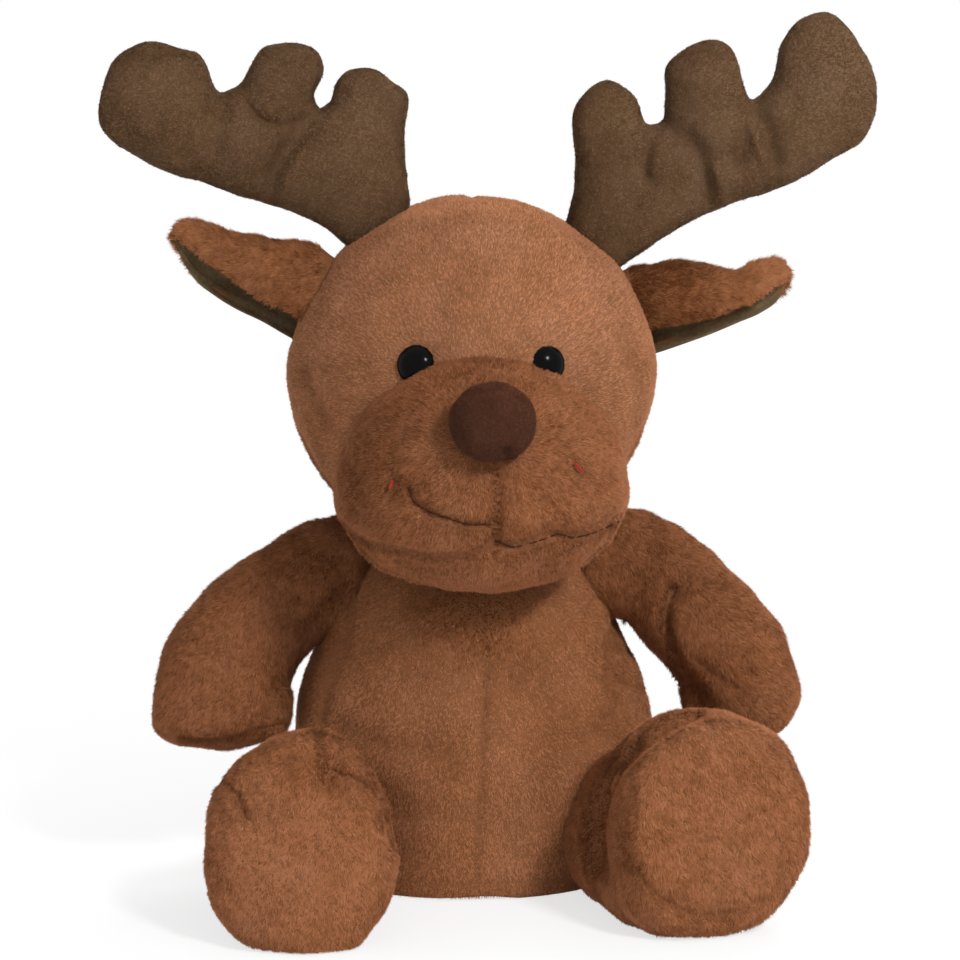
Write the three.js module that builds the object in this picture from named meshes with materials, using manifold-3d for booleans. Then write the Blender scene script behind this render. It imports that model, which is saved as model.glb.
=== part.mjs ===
// A seated plush deer: a stuffed body on a flat base, a round head with a wide muzzle, folded ears,
// palm-shaped antlers, two arms and two legs. Sizes are in millimetres and angles in degrees.
// +Z is up and the face looks along -Y. "Left" is the side at -X, which is on the left of the face
// as someone looks at it. The origin is the middle of the base, on the surface that the toy sits on.
// Each skin is a sewn cover with its filling inside it. A limb's rounded root nests in a hollow of
// the body or head, so that it can turn there.

import * as THREE from "three";
import { mergeVertices } from "three/addons/utils/BufferGeometryUtils.js";
import Module from "manifold-3d";

const wasm = await Module();
wasm.setup();

// Cloth and clearances
const CLOTH = 2.2; // plush cloth with its pile
const THIN_CLOTH = 1.4; // short velour of the antlers
const LINING_CLOTH = 1.1; // smooth lining of the ears
const SEAM_GAP = 0.3; // between sewn panels, between cloth and filling, and at each nested root
const OVERRUN = 4; // how far a cutting tool runs past what it cuts

// Body
const TORSO_HEIGHT = 113;
const TORSO_HALF_WIDTH = 55.5;
const TORSO_DEPTH_SHARE = 0.84; // belly depth over belly width
const BASE_PANEL_RISE = 5; // height of the seam round the base panel
const SIDE_SEAM_Y_SHARE = 0.16; // the side seams' place, as a share of the belly depth behind the middle
const NECK_MOUTH_RADIUS = 14;
// Height up the body, then half width there, both as shares
const TORSO_PROFILE_SHARES = [
  [0.0, 0.79],
  [0.03, 0.885],
  [0.12, 0.965],
  [0.28, 1.0],
  [0.43, 0.985],
  [0.56, 0.93],
  [0.68, 0.85],
  [0.79, 0.74],
  [0.88, 0.6],
  [0.94, 0.44],
  [0.98, 0.26],
];
// Between these heights the body's section turns from oval to round
const NECK_ROUND_FROM_SHARE = 0.55;
const NECK_ROUND_TO_SHARE = 0.82;
const BEAN_BAG_HEIGHT = 16;
const BEAN_BAG_HALF_WIDTH = 36;

// Head
const HEAD_HALF_WIDTH = 57;
const HEAD_HALF_DEPTH = 52;
const HEAD_HALF_HEIGHT = 56;
const NECK_SINK = 13.3; // how far the top of the body reaches up into the head
const HEAD_SEAM_Y = 5; // the seam over the head, which the ears and antlers are sewn into

// Muzzle
const MUZZLE_HALF_WIDTH = 44.5;
const MUZZLE_HALF_DEPTH = 42;
const MUZZLE_RISE = 38; // from its middle to its top
const MUZZLE_FALL = 35; // from its middle to the chin
const MUZZLE_DROP = 23; // its middle, below the middle of the head
const MUZZLE_SET_BACK = 8; // its middle, behind the front of the head
const MUZZLE_JOWL_SHARE = 0.13; // how much wider than an oval it is low down, and narrower high up
const CHIN_SEAM_DROP = 18; // the seam over the chin, below the muzzle's middle

// Nose and eyes
const NOSE_HALF_WIDTH = 12.6;
const NOSE_HALF_HEIGHT = 11.8;
const NOSE_HALF_DEPTH = 11.5;
const NOSE_LIFT = 21.8; // above the muzzle's middle
const NOSE_SINK = 6.5; // how deep it sits in the muzzle
const EYE_RADIUS = 6;
const EYE_DOME = 4.2;
const EYE_SPACING = 40.4; // between the middles of the two eyes
const EYE_LIFT = 11.5; // above the middle of the head
const SHANK_RADIUS = 2;
const SHANK_LENGTH = 8;
const WASHER_RADIUS = 6.5;
const WASHER_THICKNESS = 1.6;

// Ears
const EAR_LENGTH = 44;
const EAR_HALF_HEIGHT = 14.5;
const EAR_HALF_THICKNESS = 10;
const EAR_ROOT_HALF_LENGTH = 13.5; // along the seam
const EAR_ROOT_RADIUS = 7.5; // across the seam
const EAR_ROOT_OUT = 2.6; // the root's middle, outside the surface of the head
const EAR_TIP_CAP = 7;
const EAR_MOUTH_SHIFT = 6; // how far the fold opens, down and forward
const EAR_MOUTH_ANGLE = 50; // of the mouth below straight ahead
// Along the ear, then half height and half thickness there, as shares
const EAR_SECTION_SHARES = [
  [0.0, 0.9, 0.72],
  [0.25, 1.0, 0.95],
  [0.5, 0.9, 1.0],
  [0.75, 0.74, 0.85],
  [0.9, 0.6, 0.65],
  [1.0, 0.5, 0.5],
];
// The root's angle up the head and the ear's own tilt above level
const EARS = { left: { rootAngle: 26, tiltAngle: 21 }, right: { rootAngle: 20, tiltAngle: 12 } };

// Antlers
const ANTLER_REACH = 85; // from the root to the far end of the palm
const ANTLER_FLATNESS_SHARE = 0.56; // thickness over height of each lobe
const ANTLER_ROOT_RADIUS = 7; // across the seam
const ANTLER_ROOT_HALF_LENGTH = 11.5; // along the seam
const ANTLER_ROOT_OUT = 1.8; // the root's middle, outside the surface of the head
// The beam from the root outward: along, up and radius, as shares of the reach
// Each tine: the same three where it leaves the beam, then at its end
const ANTLERS = {
  left: {
    rootAngle: 57,
    beamShares: [
      [0.0, 0.0, 0.135],
      [0.117, 0.115, 0.182],
      [0.281, 0.218, 0.19],
      [0.591, 0.298, 0.168],
      [0.795, 0.428, 0.208],
    ],
    tineShares: [
      [0.03, 0.163, 0.146, 0.008, 0.432, 0.131],
      [0.322, 0.291, 0.153, 0.318, 0.508, 0.146],
      [0.68, 0.4, 0.12, 0.68, 0.525, 0.11],
    ],
  },
  right: {
    rootAngle: 50,
    beamShares: [
      [0.0, 0.0, 0.135],
      [0.095, 0.12, 0.175],
      [0.314, 0.245, 0.193],
      [0.642, 0.335, 0.172],
      [0.84, 0.46, 0.205],
      [0.85, 0.62, 0.182],
    ],
    tineShares: [
      [0.035, 0.207, 0.135, 0.045, 0.451, 0.124],
      [0.378, 0.353, 0.15, 0.386, 0.566, 0.142],
    ],
  },
};

// Arms
const ARM_ROOT_RADIUS = 13.5;
const SHOULDER_LIFT_SHARE = 0.835; // height of the shoulder up the body
const SHOULDER_OUT = 3; // the shoulder's pivot, outside the body's surface
const ARM_LENGTH = 70;
const ARM_HALF_WIDTH = 22;
const ARM_HALF_THICKNESS = 16;
const ARM_SWING_ANGLES = [-20, -8, 14, 28, 40]; // back and forward, where the arm still clears the body
const PAW_CAP = 10; // length of the paw's rounded end
// Along the arm, then half width and half thickness there, as shares
const ARM_SECTION_SHARES = [
  [0.0, 0.86, 0.8],
  [0.25, 0.92, 0.92],
  [0.5, 0.9, 1.0],
  [0.8, 1.0, 1.0],
  [1.0, 0.98, 0.9],
];
// The arm's middle line from the shoulder: outward, forward and down, as shares of its length
const ARMS = {
  left: {
    lineShares: [
      [0, 0, 0],
      [0.2, 0.02, 0.07],
      [0.38, 0.07, 0.27],
      [0.53, 0.13, 0.45],
      [0.57, 0.18, 0.6],
    ],
    widthShare: 1,
  },
  right: {
    lineShares: [
      [0, 0, 0],
      [0.21, 0.02, 0.03],
      [0.42, 0.05, 0.23],
      [0.57, 0.1, 0.42],
      [0.61, 0.13, 0.58],
    ],
    widthShare: 0.91,
  },
};

// Legs
const HIP_ROOT_RADIUS = 22;
const HIP_OUT = 8.5; // the hip's pivot, outside the body's surface
const HIP_LIFT = 27;
const LEG_LIFT_ANGLES = [5, -10, -20]; // down and up, where the leg still clears the body
const SOLE_HALF_WIDTH = 28;
const SOLE_HALF_HEIGHT = 33;
const SOLE_PANEL_DEPTH = 5; // the sole panel's seam, behind its middle
const SOLE_CAP = 9; // length of the foot's rounded end
const FLOOR_PRESS = 0.5; // how far each foot is pressed flat
// Along the leg, then half width and half height there, as shares of the sole's
const LEG_SECTION_SHARES = [
  [0.0, 0.72, 0.72],
  [0.3, 0.82, 0.88],
  [0.6, 0.95, 1.03],
  [0.85, 1.01, 1.05],
  [1.0, 1.0, 1.0],
];
// Where the hip is round the body, the foot's reach from it, and how the sole turns out and leans back
const LEGS = {
  left: { hipAngle: 38, outReach: 17, forwardReach: 47, footLift: 4, turnAngle: 3, leanAngle: 18 },
  right: { hipAngle: 38, outReach: 31, forwardReach: 44, footLift: 7, turnAngle: 16, leanAngle: 8 },
};

// Facets: sections round a form and steps along it
const ROUND = 24;
const ROUND_INNER = 10;
const LIMB_SIDES = 16;
const LIMB_SIDES_INNER = 6;
const ROOT_SIDES = 16;
const LOBE_SIDES = 12;
const LOBE_SIDES_INNER = 6;
const SLAB_SIDES = 4;

const SIDES = { left: -1, right: 1 };
const UP = new THREE.Vector3(0, 0, 1);
const BACK = new THREE.Vector3(0, 1, 0);
const ACROSS = new THREE.Vector3(1, 0, 0);

function at(x, y, z) {
  return new THREE.Vector3(x, y, z);
}

// A closed geometry as a solid that can be joined and cut
function solidOf(geometry) {
  const bare = geometry.index ? geometry.toNonIndexed() : geometry.clone();
  bare.deleteAttribute("normal");
  bare.deleteAttribute("uv");
  const merged = mergeVertices(bare, 1e-4);
  const mesh = new wasm.Mesh({
    numProp: 3,
    vertProperties: new Float32Array(merged.attributes.position.array),
    triVerts: new Uint32Array(merged.index.array),
  });
  return new wasm.Manifold(mesh);
}

function geometryOf(solid) {
  const mesh = solid.getMesh();
  const positions = new Float32Array(mesh.numVert * 3);
  for (let i = 0; i < mesh.numVert; i++) {
    positions.set(mesh.vertProperties.subarray(i * mesh.numProp, i * mesh.numProp + 3), i * 3);
  }
  const geometry = new THREE.BufferGeometry();
  geometry.setAttribute("position", new THREE.BufferAttribute(positions, 3));
  geometry.setIndex(new THREE.BufferAttribute(new Uint32Array(mesh.triVerts), 1));
  geometry.computeVertexNormals();
  return geometry;
}

// Rings of points joined into one closed surface, with a point at each end
function ringLoft(start, rings, end) {
  const sides = rings[0].length;
  const points = [start, ...rings.flat(), end];
  const faces = [];
  const index = (ring, side) => 1 + ring * sides + (side % sides);
  for (let side = 0; side < sides; side++) {
    faces.push(0, index(0, side + 1), index(0, side));
    for (let ring = 0; ring + 1 < rings.length; ring++) {
      const a = index(ring, side);
      const b = index(ring, side + 1);
      const c = index(ring + 1, side);
      const d = index(ring + 1, side + 1);
      faces.push(a, b, d, a, d, c);
    }
    const last = rings.length - 1;
    faces.push(points.length - 1, index(last, side), index(last, side + 1));
  }
  const geometry = new THREE.BufferGeometry().setFromPoints(points);
  geometry.setIndex(faces);
  return geometry;
}

// The value of a table of [place, value, value ...] rows at a place, eased smoothly between rows
function tableAt(rows, place, column) {
  const curve = new THREE.SplineCurve(rows.map((row) => new THREE.Vector2(row[0], row[column])));
  const last = rows.length - 1;
  const held = THREE.MathUtils.clamp(place, rows[0][0], rows[last][0]);
  const next = Math.max(1, rows.findIndex((row) => row[0] >= held));
  const from = rows[next - 1][0];
  const part = (held - from) / (rows[next][0] - from);
  return curve.getPoint((next - 1 + part) / last).y;
}

// A point and direction along a curve, carried straight on past its ends
function along(curve, place) {
  const length = curve.getLength();
  const share = THREE.MathUtils.clamp(place / length, 0, 1);
  const direction = curve.getTangentAt(share);
  const point = curve.getPointAt(share).addScaledVector(direction, place - share * length);
  return { point, direction, share };
}

// A stuffed form swept along a curve, oval in section, with a rounded cap beyond each end of the
// curve. The inset makes it smaller all over. Sections are shares of the two half sizes.
function sweep({ curve, sectionShares, halfWidth, halfThickness, caps, across, sides, inset = 0 }) {
  const length = curve.getLength();
  const capSteps = Math.round(sides / 5);
  const middleSteps = Math.max(sectionShares.length - 1, Math.round(sides / 3));
  const [startCap, endCap] = caps.map((cap) => Math.max(cap - inset, cap / 4));
  const places = [];
  for (let i = 1; i < capSteps; i++) {
    const turn = (Math.PI / 2) * (i / capSteps);
    places.push([-startCap * Math.cos(turn), Math.sin(turn)]);
  }
  for (let i = 0; i <= middleSteps; i++) places.push([length * (i / middleSteps), 1]);
  for (let i = 1; i < capSteps; i++) {
    const turn = (Math.PI / 2) * (i / capSteps);
    places.push([length + endCap * Math.sin(turn), Math.cos(turn)]);
  }
  const rings = places.map(([place, narrowing]) => {
    const { point: centre, direction, share } = along(curve, place);
    const thick = across.clone().addScaledVector(direction, -across.dot(direction)).normalize();
    const wide = thick.clone().cross(direction);
    const width = (tableAt(sectionShares, share, 1) * halfWidth - inset) * narrowing;
    const thickness = (tableAt(sectionShares, share, 2) * halfThickness - inset) * narrowing;
    return Array.from({ length: sides }, (_, side) => {
      const turn = (2 * Math.PI * side) / sides;
      const point = centre.clone().addScaledVector(wide, width * Math.cos(turn));
      return point.addScaledVector(thick, thickness * Math.sin(turn));
    });
  });
  const startTip = along(curve, -startCap).point;
  const endTip = along(curve, length + endCap).point;
  return solidOf(ringLoft(startTip, rings, endTip));
}

function oval(centre, halfSizes, around) {
  const geometry = new THREE.SphereGeometry(1, around, Math.round(around / 2));
  geometry.rotateX(Math.PI / 2);
  geometry.scale(halfSizes.x, halfSizes.y, halfSizes.z);
  geometry.translate(centre.x, centre.y, centre.z);
  return solidOf(geometry);
}

// A rounded root, a ball drawn out or in along the axis that it turns about
function rootForm({ pivot, axis, halfLength, radius }, grown) {
  const geometry = new THREE.SphereGeometry(1, ROOT_SIDES, ROOT_SIDES / 2);
  geometry.scale(radius + grown, halfLength + grown, radius + grown);
  geometry.applyQuaternion(new THREE.Quaternion().setFromUnitVectors(BACK, axis));
  geometry.translate(pivot.x, pivot.y, pivot.z);
  return solidOf(geometry);
}

// The hollow that a root turns in, wide enough that its flat facets stay clear of the root
function pocketFor(joint, extra = 0) {
  const grown = (joint.radius + SEAM_GAP) / Math.cos(Math.PI / ROOT_SIDES) - joint.radius;
  return rootForm(joint, grown + extra);
}

function block(low, high) {
  const size = high.clone().sub(low);
  const middle = high.clone().add(low).multiplyScalar(0.5);
  const geometry = new THREE.BoxGeometry(size.x, size.y, size.z);
  geometry.translate(middle.x, middle.y, middle.z);
  return solidOf(geometry);
}

// A turned form whose own axis runs from a point along a direction
function turned(profile, from, direction, around) {
  const geometry = new THREE.LatheGeometry(profile, around);
  const turn = new THREE.Quaternion().setFromUnitVectors(BACK, direction.clone().normalize());
  geometry.applyQuaternion(turn);
  geometry.translate(from.x, from.y, from.z);
  return solidOf(geometry);
}

function rod(from, direction, radius, length, around) {
  const profile = [
    new THREE.Vector2(0, 0),
    new THREE.Vector2(radius, 0),
    new THREE.Vector2(radius, length),
    new THREE.Vector2(0, length),
  ];
  return turned(profile, from, direction, around);
}

// The torso. Its half width and half depth at a height
const bellyHalfDepth = TORSO_HALF_WIDTH * TORSO_DEPTH_SHARE;

function torsoHalfWidth(height) {
  return TORSO_HALF_WIDTH * tableAt(TORSO_PROFILE_SHARES, height / TORSO_HEIGHT, 1);
}

function torsoHalfDepth(height) {
  const share = height / TORSO_HEIGHT;
  const roundness = THREE.MathUtils.smoothstep(share, NECK_ROUND_FROM_SHARE, NECK_ROUND_TO_SHARE);
  return torsoHalfWidth(height) * THREE.MathUtils.lerp(TORSO_DEPTH_SHARE, 1, roundness);
}

function torsoGeometry(inset, sides) {
  const last = TORSO_PROFILE_SHARES.length - 1;
  const steps = Math.round(sides / 2);
  const low = inset > 0 ? inset : 0;
  const top = TORSO_HEIGHT - inset;
  const rings = Array.from({ length: steps + 1 }, (_, i) => {
    const row = (i / steps) * last;
    const step = Math.min(Math.floor(row), last - 1);
    const share = THREE.MathUtils.lerp(
      TORSO_PROFILE_SHARES[step][0],
      TORSO_PROFILE_SHARES[step + 1][0],
      row - step,
    );
    const height = share * TORSO_HEIGHT;
    const placed = low + share * (top - low);
    const width = Math.max(torsoHalfWidth(height) - inset, inset);
    const depth = Math.max(torsoHalfDepth(height) - inset, inset);
    return Array.from({ length: sides }, (_, side) => {
      const turn = (2 * Math.PI * side) / sides;
      return at(width * Math.cos(turn), depth * Math.sin(turn), placed);
    });
  });
  return ringLoft(at(0, 0, low), rings, at(0, 0, top));
}

function torsoForm(inset, sides) {
  return solidOf(torsoGeometry(inset, sides));
}

// The torso as a swinging arm meets it, turned back about the arm's own pivot
function torsoPassing({ pivot, axis }, degrees) {
  const turn = THREE.MathUtils.degToRad(degrees);
  const geometry = torsoGeometry(-SEAM_GAP, ROUND);
  geometry.translate(-pivot.x, -pivot.y, -pivot.z);
  geometry.applyQuaternion(new THREE.Quaternion().setFromAxisAngle(axis, turn));
  geometry.translate(pivot.x, pivot.y, pivot.z);
  return solidOf(geometry);
}

// The head
const headCentre = at(0, 0, TORSO_HEIGHT - NECK_SINK + HEAD_HALF_HEIGHT);

function headForm(inset, around) {
  const sizes = at(HEAD_HALF_WIDTH - inset, HEAD_HALF_DEPTH - inset, HEAD_HALF_HEIGHT - inset);
  return oval(headCentre, sizes, around);
}

// A point on the head above level, over the seam that the ears and antlers are sewn into
function headSeamPoint(side, lift, out) {
  const turn = THREE.MathUtils.degToRad(lift);
  const narrowing = Math.sqrt(1 - (HEAD_SEAM_Y / HEAD_HALF_DEPTH) ** 2);
  const x = (HEAD_HALF_WIDTH * narrowing + out) * Math.cos(turn) * SIDES[side];
  const z = (HEAD_HALF_HEIGHT * narrowing + out) * Math.sin(turn);
  return at(x, HEAD_SEAM_Y, z).add(at(0, 0, headCentre.z));
}

// The muzzle: an oval that is wider low down
const muzzleCentre = at(0, MUZZLE_SET_BACK - HEAD_HALF_DEPTH, headCentre.z - MUZZLE_DROP);

function muzzleForm(inset, around) {
  const geometry = new THREE.SphereGeometry(1, around, Math.round(around / 2));
  geometry.rotateX(Math.PI / 2);
  const positions = geometry.attributes.position;
  for (let i = 0; i < positions.count; i++) {
    const x = positions.getX(i);
    const y = positions.getY(i);
    const z = positions.getZ(i);
    const jowl = 1 - MUZZLE_JOWL_SHARE * z;
    const height = (z > 0 ? MUZZLE_RISE : MUZZLE_FALL) - inset;
    positions.setXYZ(
      i,
      x * jowl * (MUZZLE_HALF_WIDTH - inset),
      y * (MUZZLE_HALF_DEPTH - inset),
      z * height,
    );
  }
  geometry.translate(muzzleCentre.x, muzzleCentre.y, muzzleCentre.z);
  return solidOf(geometry);
}

// The muzzle's front at a height above its middle, on the middle line
function muzzleFront(lift) {
  return muzzleCentre.y - MUZZLE_HALF_DEPTH * Math.sqrt(1 - (lift / MUZZLE_RISE) ** 2);
}

// Ears: a leaf that is hollowed out towards its mouth and ends in a rounded root
function earForms(side) {
  const { rootAngle, tiltAngle } = EARS[side];
  const root = headSeamPoint(side, rootAngle, EAR_ROOT_OUT);
  const turn = THREE.MathUtils.degToRad(tiltAngle);
  const outward = at(SIDES[side] * Math.cos(turn), 0, Math.sin(turn));
  const mouthTurn = THREE.MathUtils.degToRad(EAR_MOUTH_ANGLE);
  const level = at(-SIDES[side] * Math.sin(turn), 0, Math.cos(turn));
  const mouth = BACK.clone().multiplyScalar(-Math.cos(mouthTurn));
  mouth.addScaledVector(level, -Math.sin(mouthTurn));
  const leaf = (inset, shift, sides) => {
    const start = root.clone().addScaledVector(mouth, shift);
    const end = start.clone().addScaledVector(outward, EAR_LENGTH - EAR_TIP_CAP);
    return sweep({
      curve: new THREE.LineCurve3(start, end),
      sectionShares: EAR_SECTION_SHARES,
      halfWidth: EAR_HALF_HEIGHT,
      halfThickness: EAR_HALF_THICKNESS,
      caps: [EAR_ROOT_RADIUS / 2, EAR_TIP_CAP],
      across: BACK,
      sides,
      inset,
    });
  };
  const joint = {
    pivot: root,
    axis: BACK.clone().cross(outward),
    halfLength: EAR_ROOT_HALF_LENGTH,
    radius: EAR_ROOT_RADIUS,
  };
  const hollow = leaf(CLOTH, EAR_MOUTH_SHIFT, LIMB_SIDES_INNER);
  const outer = leaf(0, 0, LOBE_SIDES).subtract(hollow).add(rootForm(joint, 0));
  const lined = leaf(CLOTH + SEAM_GAP, EAR_MOUTH_SHIFT, LIMB_SIDES_INNER);
  const open = leaf(CLOTH + SEAM_GAP + LINING_CLOTH, EAR_MOUTH_SHIFT, LIMB_SIDES_INNER);
  const rim = leaf(LINING_CLOTH, 0, LIMB_SIDES_INNER);
  const lining = lined.intersect(rim).subtract(open).subtract(pocketFor(joint));
  return { outer, lining, joint };
}

// Antlers: flat stuffed lobes, joined, with a rounded root
function antlerForms(side) {
  const { rootAngle, beamShares, tineShares } = ANTLERS[side];
  const root = headSeamPoint(side, rootAngle, ANTLER_ROOT_OUT);
  const outward = root.clone().sub(headCentre).setY(0).normalize();
  const placed = (alongShare, upShare) =>
    at(SIDES[side] * alongShare, 0, upShare).multiplyScalar(ANTLER_REACH).add(root);
  const flat = (curve, radii, inset, sides) =>
    sweep({
      curve,
      sectionShares: radii,
      halfWidth: ANTLER_REACH,
      halfThickness: ANTLER_REACH * ANTLER_FLATNESS_SHARE,
      caps: [radii[0][1] / 2, radii[radii.length - 1][1]].map((share) => share * ANTLER_REACH),
      across: BACK,
      sides,
      inset,
    });
  const stuffed = (inset, sides) => {
    const points = beamShares.map(([a, b]) => placed(a, b));
    const runs = points.map((point, i) => (i ? point.distanceTo(points[i - 1]) : 0));
    const total = runs.reduce((sum, run) => sum + run);
    let run = 0;
    const radii = beamShares.map(([, , radius], i) => {
      run += runs[i];
      return [run / total, radius, radius];
    });
    const beam = flat(new THREE.CatmullRomCurve3(points), radii, inset, sides);
    const tines = tineShares.map(([a, b, start, c, d, end]) => {
      const line = new THREE.LineCurve3(placed(a, b), placed(c, d));
      return flat(line, [[0, start, start], [1, end, end]], inset, sides);
    });
    return tines.reduce((whole, tine) => whole.add(tine), beam);
  };
  const joint = {
    pivot: root,
    axis: BACK.clone().cross(outward),
    halfLength: ANTLER_ROOT_HALF_LENGTH,
    radius: ANTLER_ROOT_RADIUS,
  };
  const outer = stuffed(0, LOBE_SIDES).add(rootForm(joint, 0));
  return {
    skin: outer.subtract(stuffed(THIN_CLOTH, LOBE_SIDES_INNER)),
    filling: stuffed(THIN_CLOTH + SEAM_GAP, LOBE_SIDES_INNER),
    joint,
  };
}

// Arms
function armForms(side) {
  const { lineShares, widthShare } = ARMS[side];
  const height = TORSO_HEIGHT * SHOULDER_LIFT_SHARE;
  const root = at(SIDES[side] * (torsoHalfWidth(height) + SHOULDER_OUT), 0, height);
  const points = lineShares.map(([out, forward, down]) =>
    at(SIDES[side] * out, -forward, -down).multiplyScalar(ARM_LENGTH).add(root),
  );
  const curve = new THREE.CatmullRomCurve3(points);
  const form = (inset, sides) =>
    sweep({
      curve,
      sectionShares: ARM_SECTION_SHARES,
      halfWidth: ARM_HALF_WIDTH * widthShare,
      halfThickness: ARM_HALF_THICKNESS,
      caps: [ARM_ROOT_RADIUS / 2, PAW_CAP],
      across: BACK,
      sides,
      inset,
    });
  const joint = {
    pivot: root,
    axis: ACROSS.clone(),
    halfLength: ARM_ROOT_RADIUS,
    radius: ARM_ROOT_RADIUS,
  };
  return limbForms(form, joint, curve.getTangentAt(0));
}

const below = (height) => block(at(-FAR, -FAR, -FAR), at(FAR, FAR, height));

// A limb's skin and filling, with its rounded root and the mouth that it was stuffed through.
// Its cloth stays whole where the limb rests on the floor.
function limbForms(form, joint, run) {
  const { pivot, radius } = joint;
  const outer = form(0, LIMB_SIDES).add(rootForm(joint, 0));
  const inner = form(CLOTH, LIMB_SIDES_INNER).subtract(below(CLOTH));
  const inward = run.clone().negate();
  const mouth = rod(pivot, inward, radius / 2, radius + OVERRUN, LIMB_SIDES_INNER);
  return {
    skin: outer.subtract(inner).subtract(mouth),
    filling: form(CLOTH + SEAM_GAP, LIMB_SIDES_INNER).subtract(below(CLOTH + SEAM_GAP)),
    grown: form(-SEAM_GAP, LIMB_SIDES),
    joint,
  };
}

// Legs
function hipPoint(side) {
  const turn = THREE.MathUtils.degToRad(LEGS[side].hipAngle);
  const x = (torsoHalfWidth(HIP_LIFT) + HIP_OUT) * Math.sin(turn) * SIDES[side];
  const y = -(torsoHalfDepth(HIP_LIFT) + HIP_OUT) * Math.cos(turn);
  return at(x, y, HIP_LIFT);
}

function soleNormal(side) {
  const turn = THREE.MathUtils.degToRad(LEGS[side].turnAngle);
  const lean = THREE.MathUtils.degToRad(LEGS[side].leanAngle);
  return at(
    SIDES[side] * Math.sin(turn) * Math.cos(lean),
    -Math.cos(turn) * Math.cos(lean),
    Math.sin(lean),
  );
}

function legForms(side) {
  const { outReach, forwardReach, footLift } = LEGS[side];
  const root = hipPoint(side);
  const normal = soleNormal(side);
  const sole = root.clone().add(at(SIDES[side] * outReach, -forwardReach, footLift));
  const ankle = sole.clone().addScaledVector(normal, -SOLE_CAP);
  const third = ankle.distanceTo(root) / 3;
  const run = ankle.clone().sub(root).normalize();
  const curve = new THREE.CubicBezierCurve3(
    root,
    root.clone().addScaledVector(run, third),
    ankle.clone().addScaledVector(normal, -third),
    ankle,
  );
  const form = (inset, sides) =>
    sweep({
      curve,
      sectionShares: LEG_SECTION_SHARES,
      halfWidth: SOLE_HALF_WIDTH,
      halfThickness: SOLE_HALF_HEIGHT,
      caps: [HIP_ROOT_RADIUS / 2, SOLE_CAP],
      across: UP,
      sides,
      inset,
    });
  const joint = {
    pivot: root,
    axis: run.clone().cross(UP).normalize(),
    halfLength: HIP_ROOT_RADIUS,
    radius: HIP_ROOT_RADIUS,
  };
  return { ...limbForms(form, joint, run), sole, normal };
}

// Materials
function cloth(colour, roughness = 1) {
  return new THREE.MeshStandardMaterial({ color: colour, roughness, metalness: 0 });
}

const MATERIALS = {
  plush: cloth(0x8f5b3a),
  muzzle: cloth(0x7d4c2d),
  antler: cloth(0x675040),
  lining: cloth(0x3f3122),
  nose: cloth(0x3a2115),
  filling: cloth(0xf2efe8),
  beans: cloth(0xd9d2c3),
  eye: cloth(0x0d0a0a, 0.12),
  washer: cloth(0xe6e6e2, 0.5),
};

// Each moving body is a group placed at the point that it turns about
function bodyAt(name, pivot, carrier) {
  const body = new THREE.Group();
  body.name = name;
  body.position.copy(pivot);
  body.updateMatrixWorld();
  if (carrier) carrier.attach(body);
  return body;
}

function addPiece(body, name, solid, material) {
  const geometry = geometryOf(solid);
  const pivot = body.getWorldPosition(new THREE.Vector3());
  geometry.translate(-pivot.x, -pivot.y, -pivot.z);
  const mesh = new THREE.Mesh(geometry, MATERIALS[material]);
  mesh.name = name;
  body.add(mesh);
}

const plushDeer = bodyAt("plush_deer", at(0, 0, 0));
const head = bodyAt("head", at(0, 0, TORSO_HEIGHT), plushDeer);

// Half spaces as large blocks, for parting a skin at its seams
const FAR = 4 * (TORSO_HEIGHT + HEAD_HALF_HEIGHT);
const gapHalf = SEAM_GAP / 2;
const beyond = {
  left: block(at(-FAR, -FAR, -FAR), at(-gapHalf, FAR, FAR)),
  right: block(at(gapHalf, -FAR, -FAR), at(FAR, FAR, FAR)),
  inFrontOf: (y) => block(at(-FAR, -FAR, -FAR), at(FAR, y - gapHalf, FAR)),
  behind: (y) => block(at(-FAR, y + gapHalf, -FAR), at(FAR, FAR, FAR)),
  above: (z) => block(at(-FAR, -FAR, z + gapHalf), at(FAR, FAR, FAR)),
  under: (z) => block(at(-FAR, -FAR, -FAR), at(FAR, FAR, z - gapHalf)),
};

const arms = { left: armForms("left"), right: armForms("right") };
const legs = { left: legForms("left"), right: legForms("right") };
const ears = { left: earForms("left"), right: earForms("right") };
const antlers = { left: antlerForms("left"), right: antlerForms("right") };

const torsoOuter = torsoForm(0, ROUND);
const torsoGrown = torsoForm(-SEAM_GAP, ROUND);
const headOuter = headForm(0, ROUND);
const headGrown = headForm(-SEAM_GAP, ROUND);
const muzzleOuter = muzzleForm(0, ROUND);

function cutBy(solid, tools) {
  return tools.reduce((rest, tool) => rest.subtract(tool), solid);
}

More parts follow.
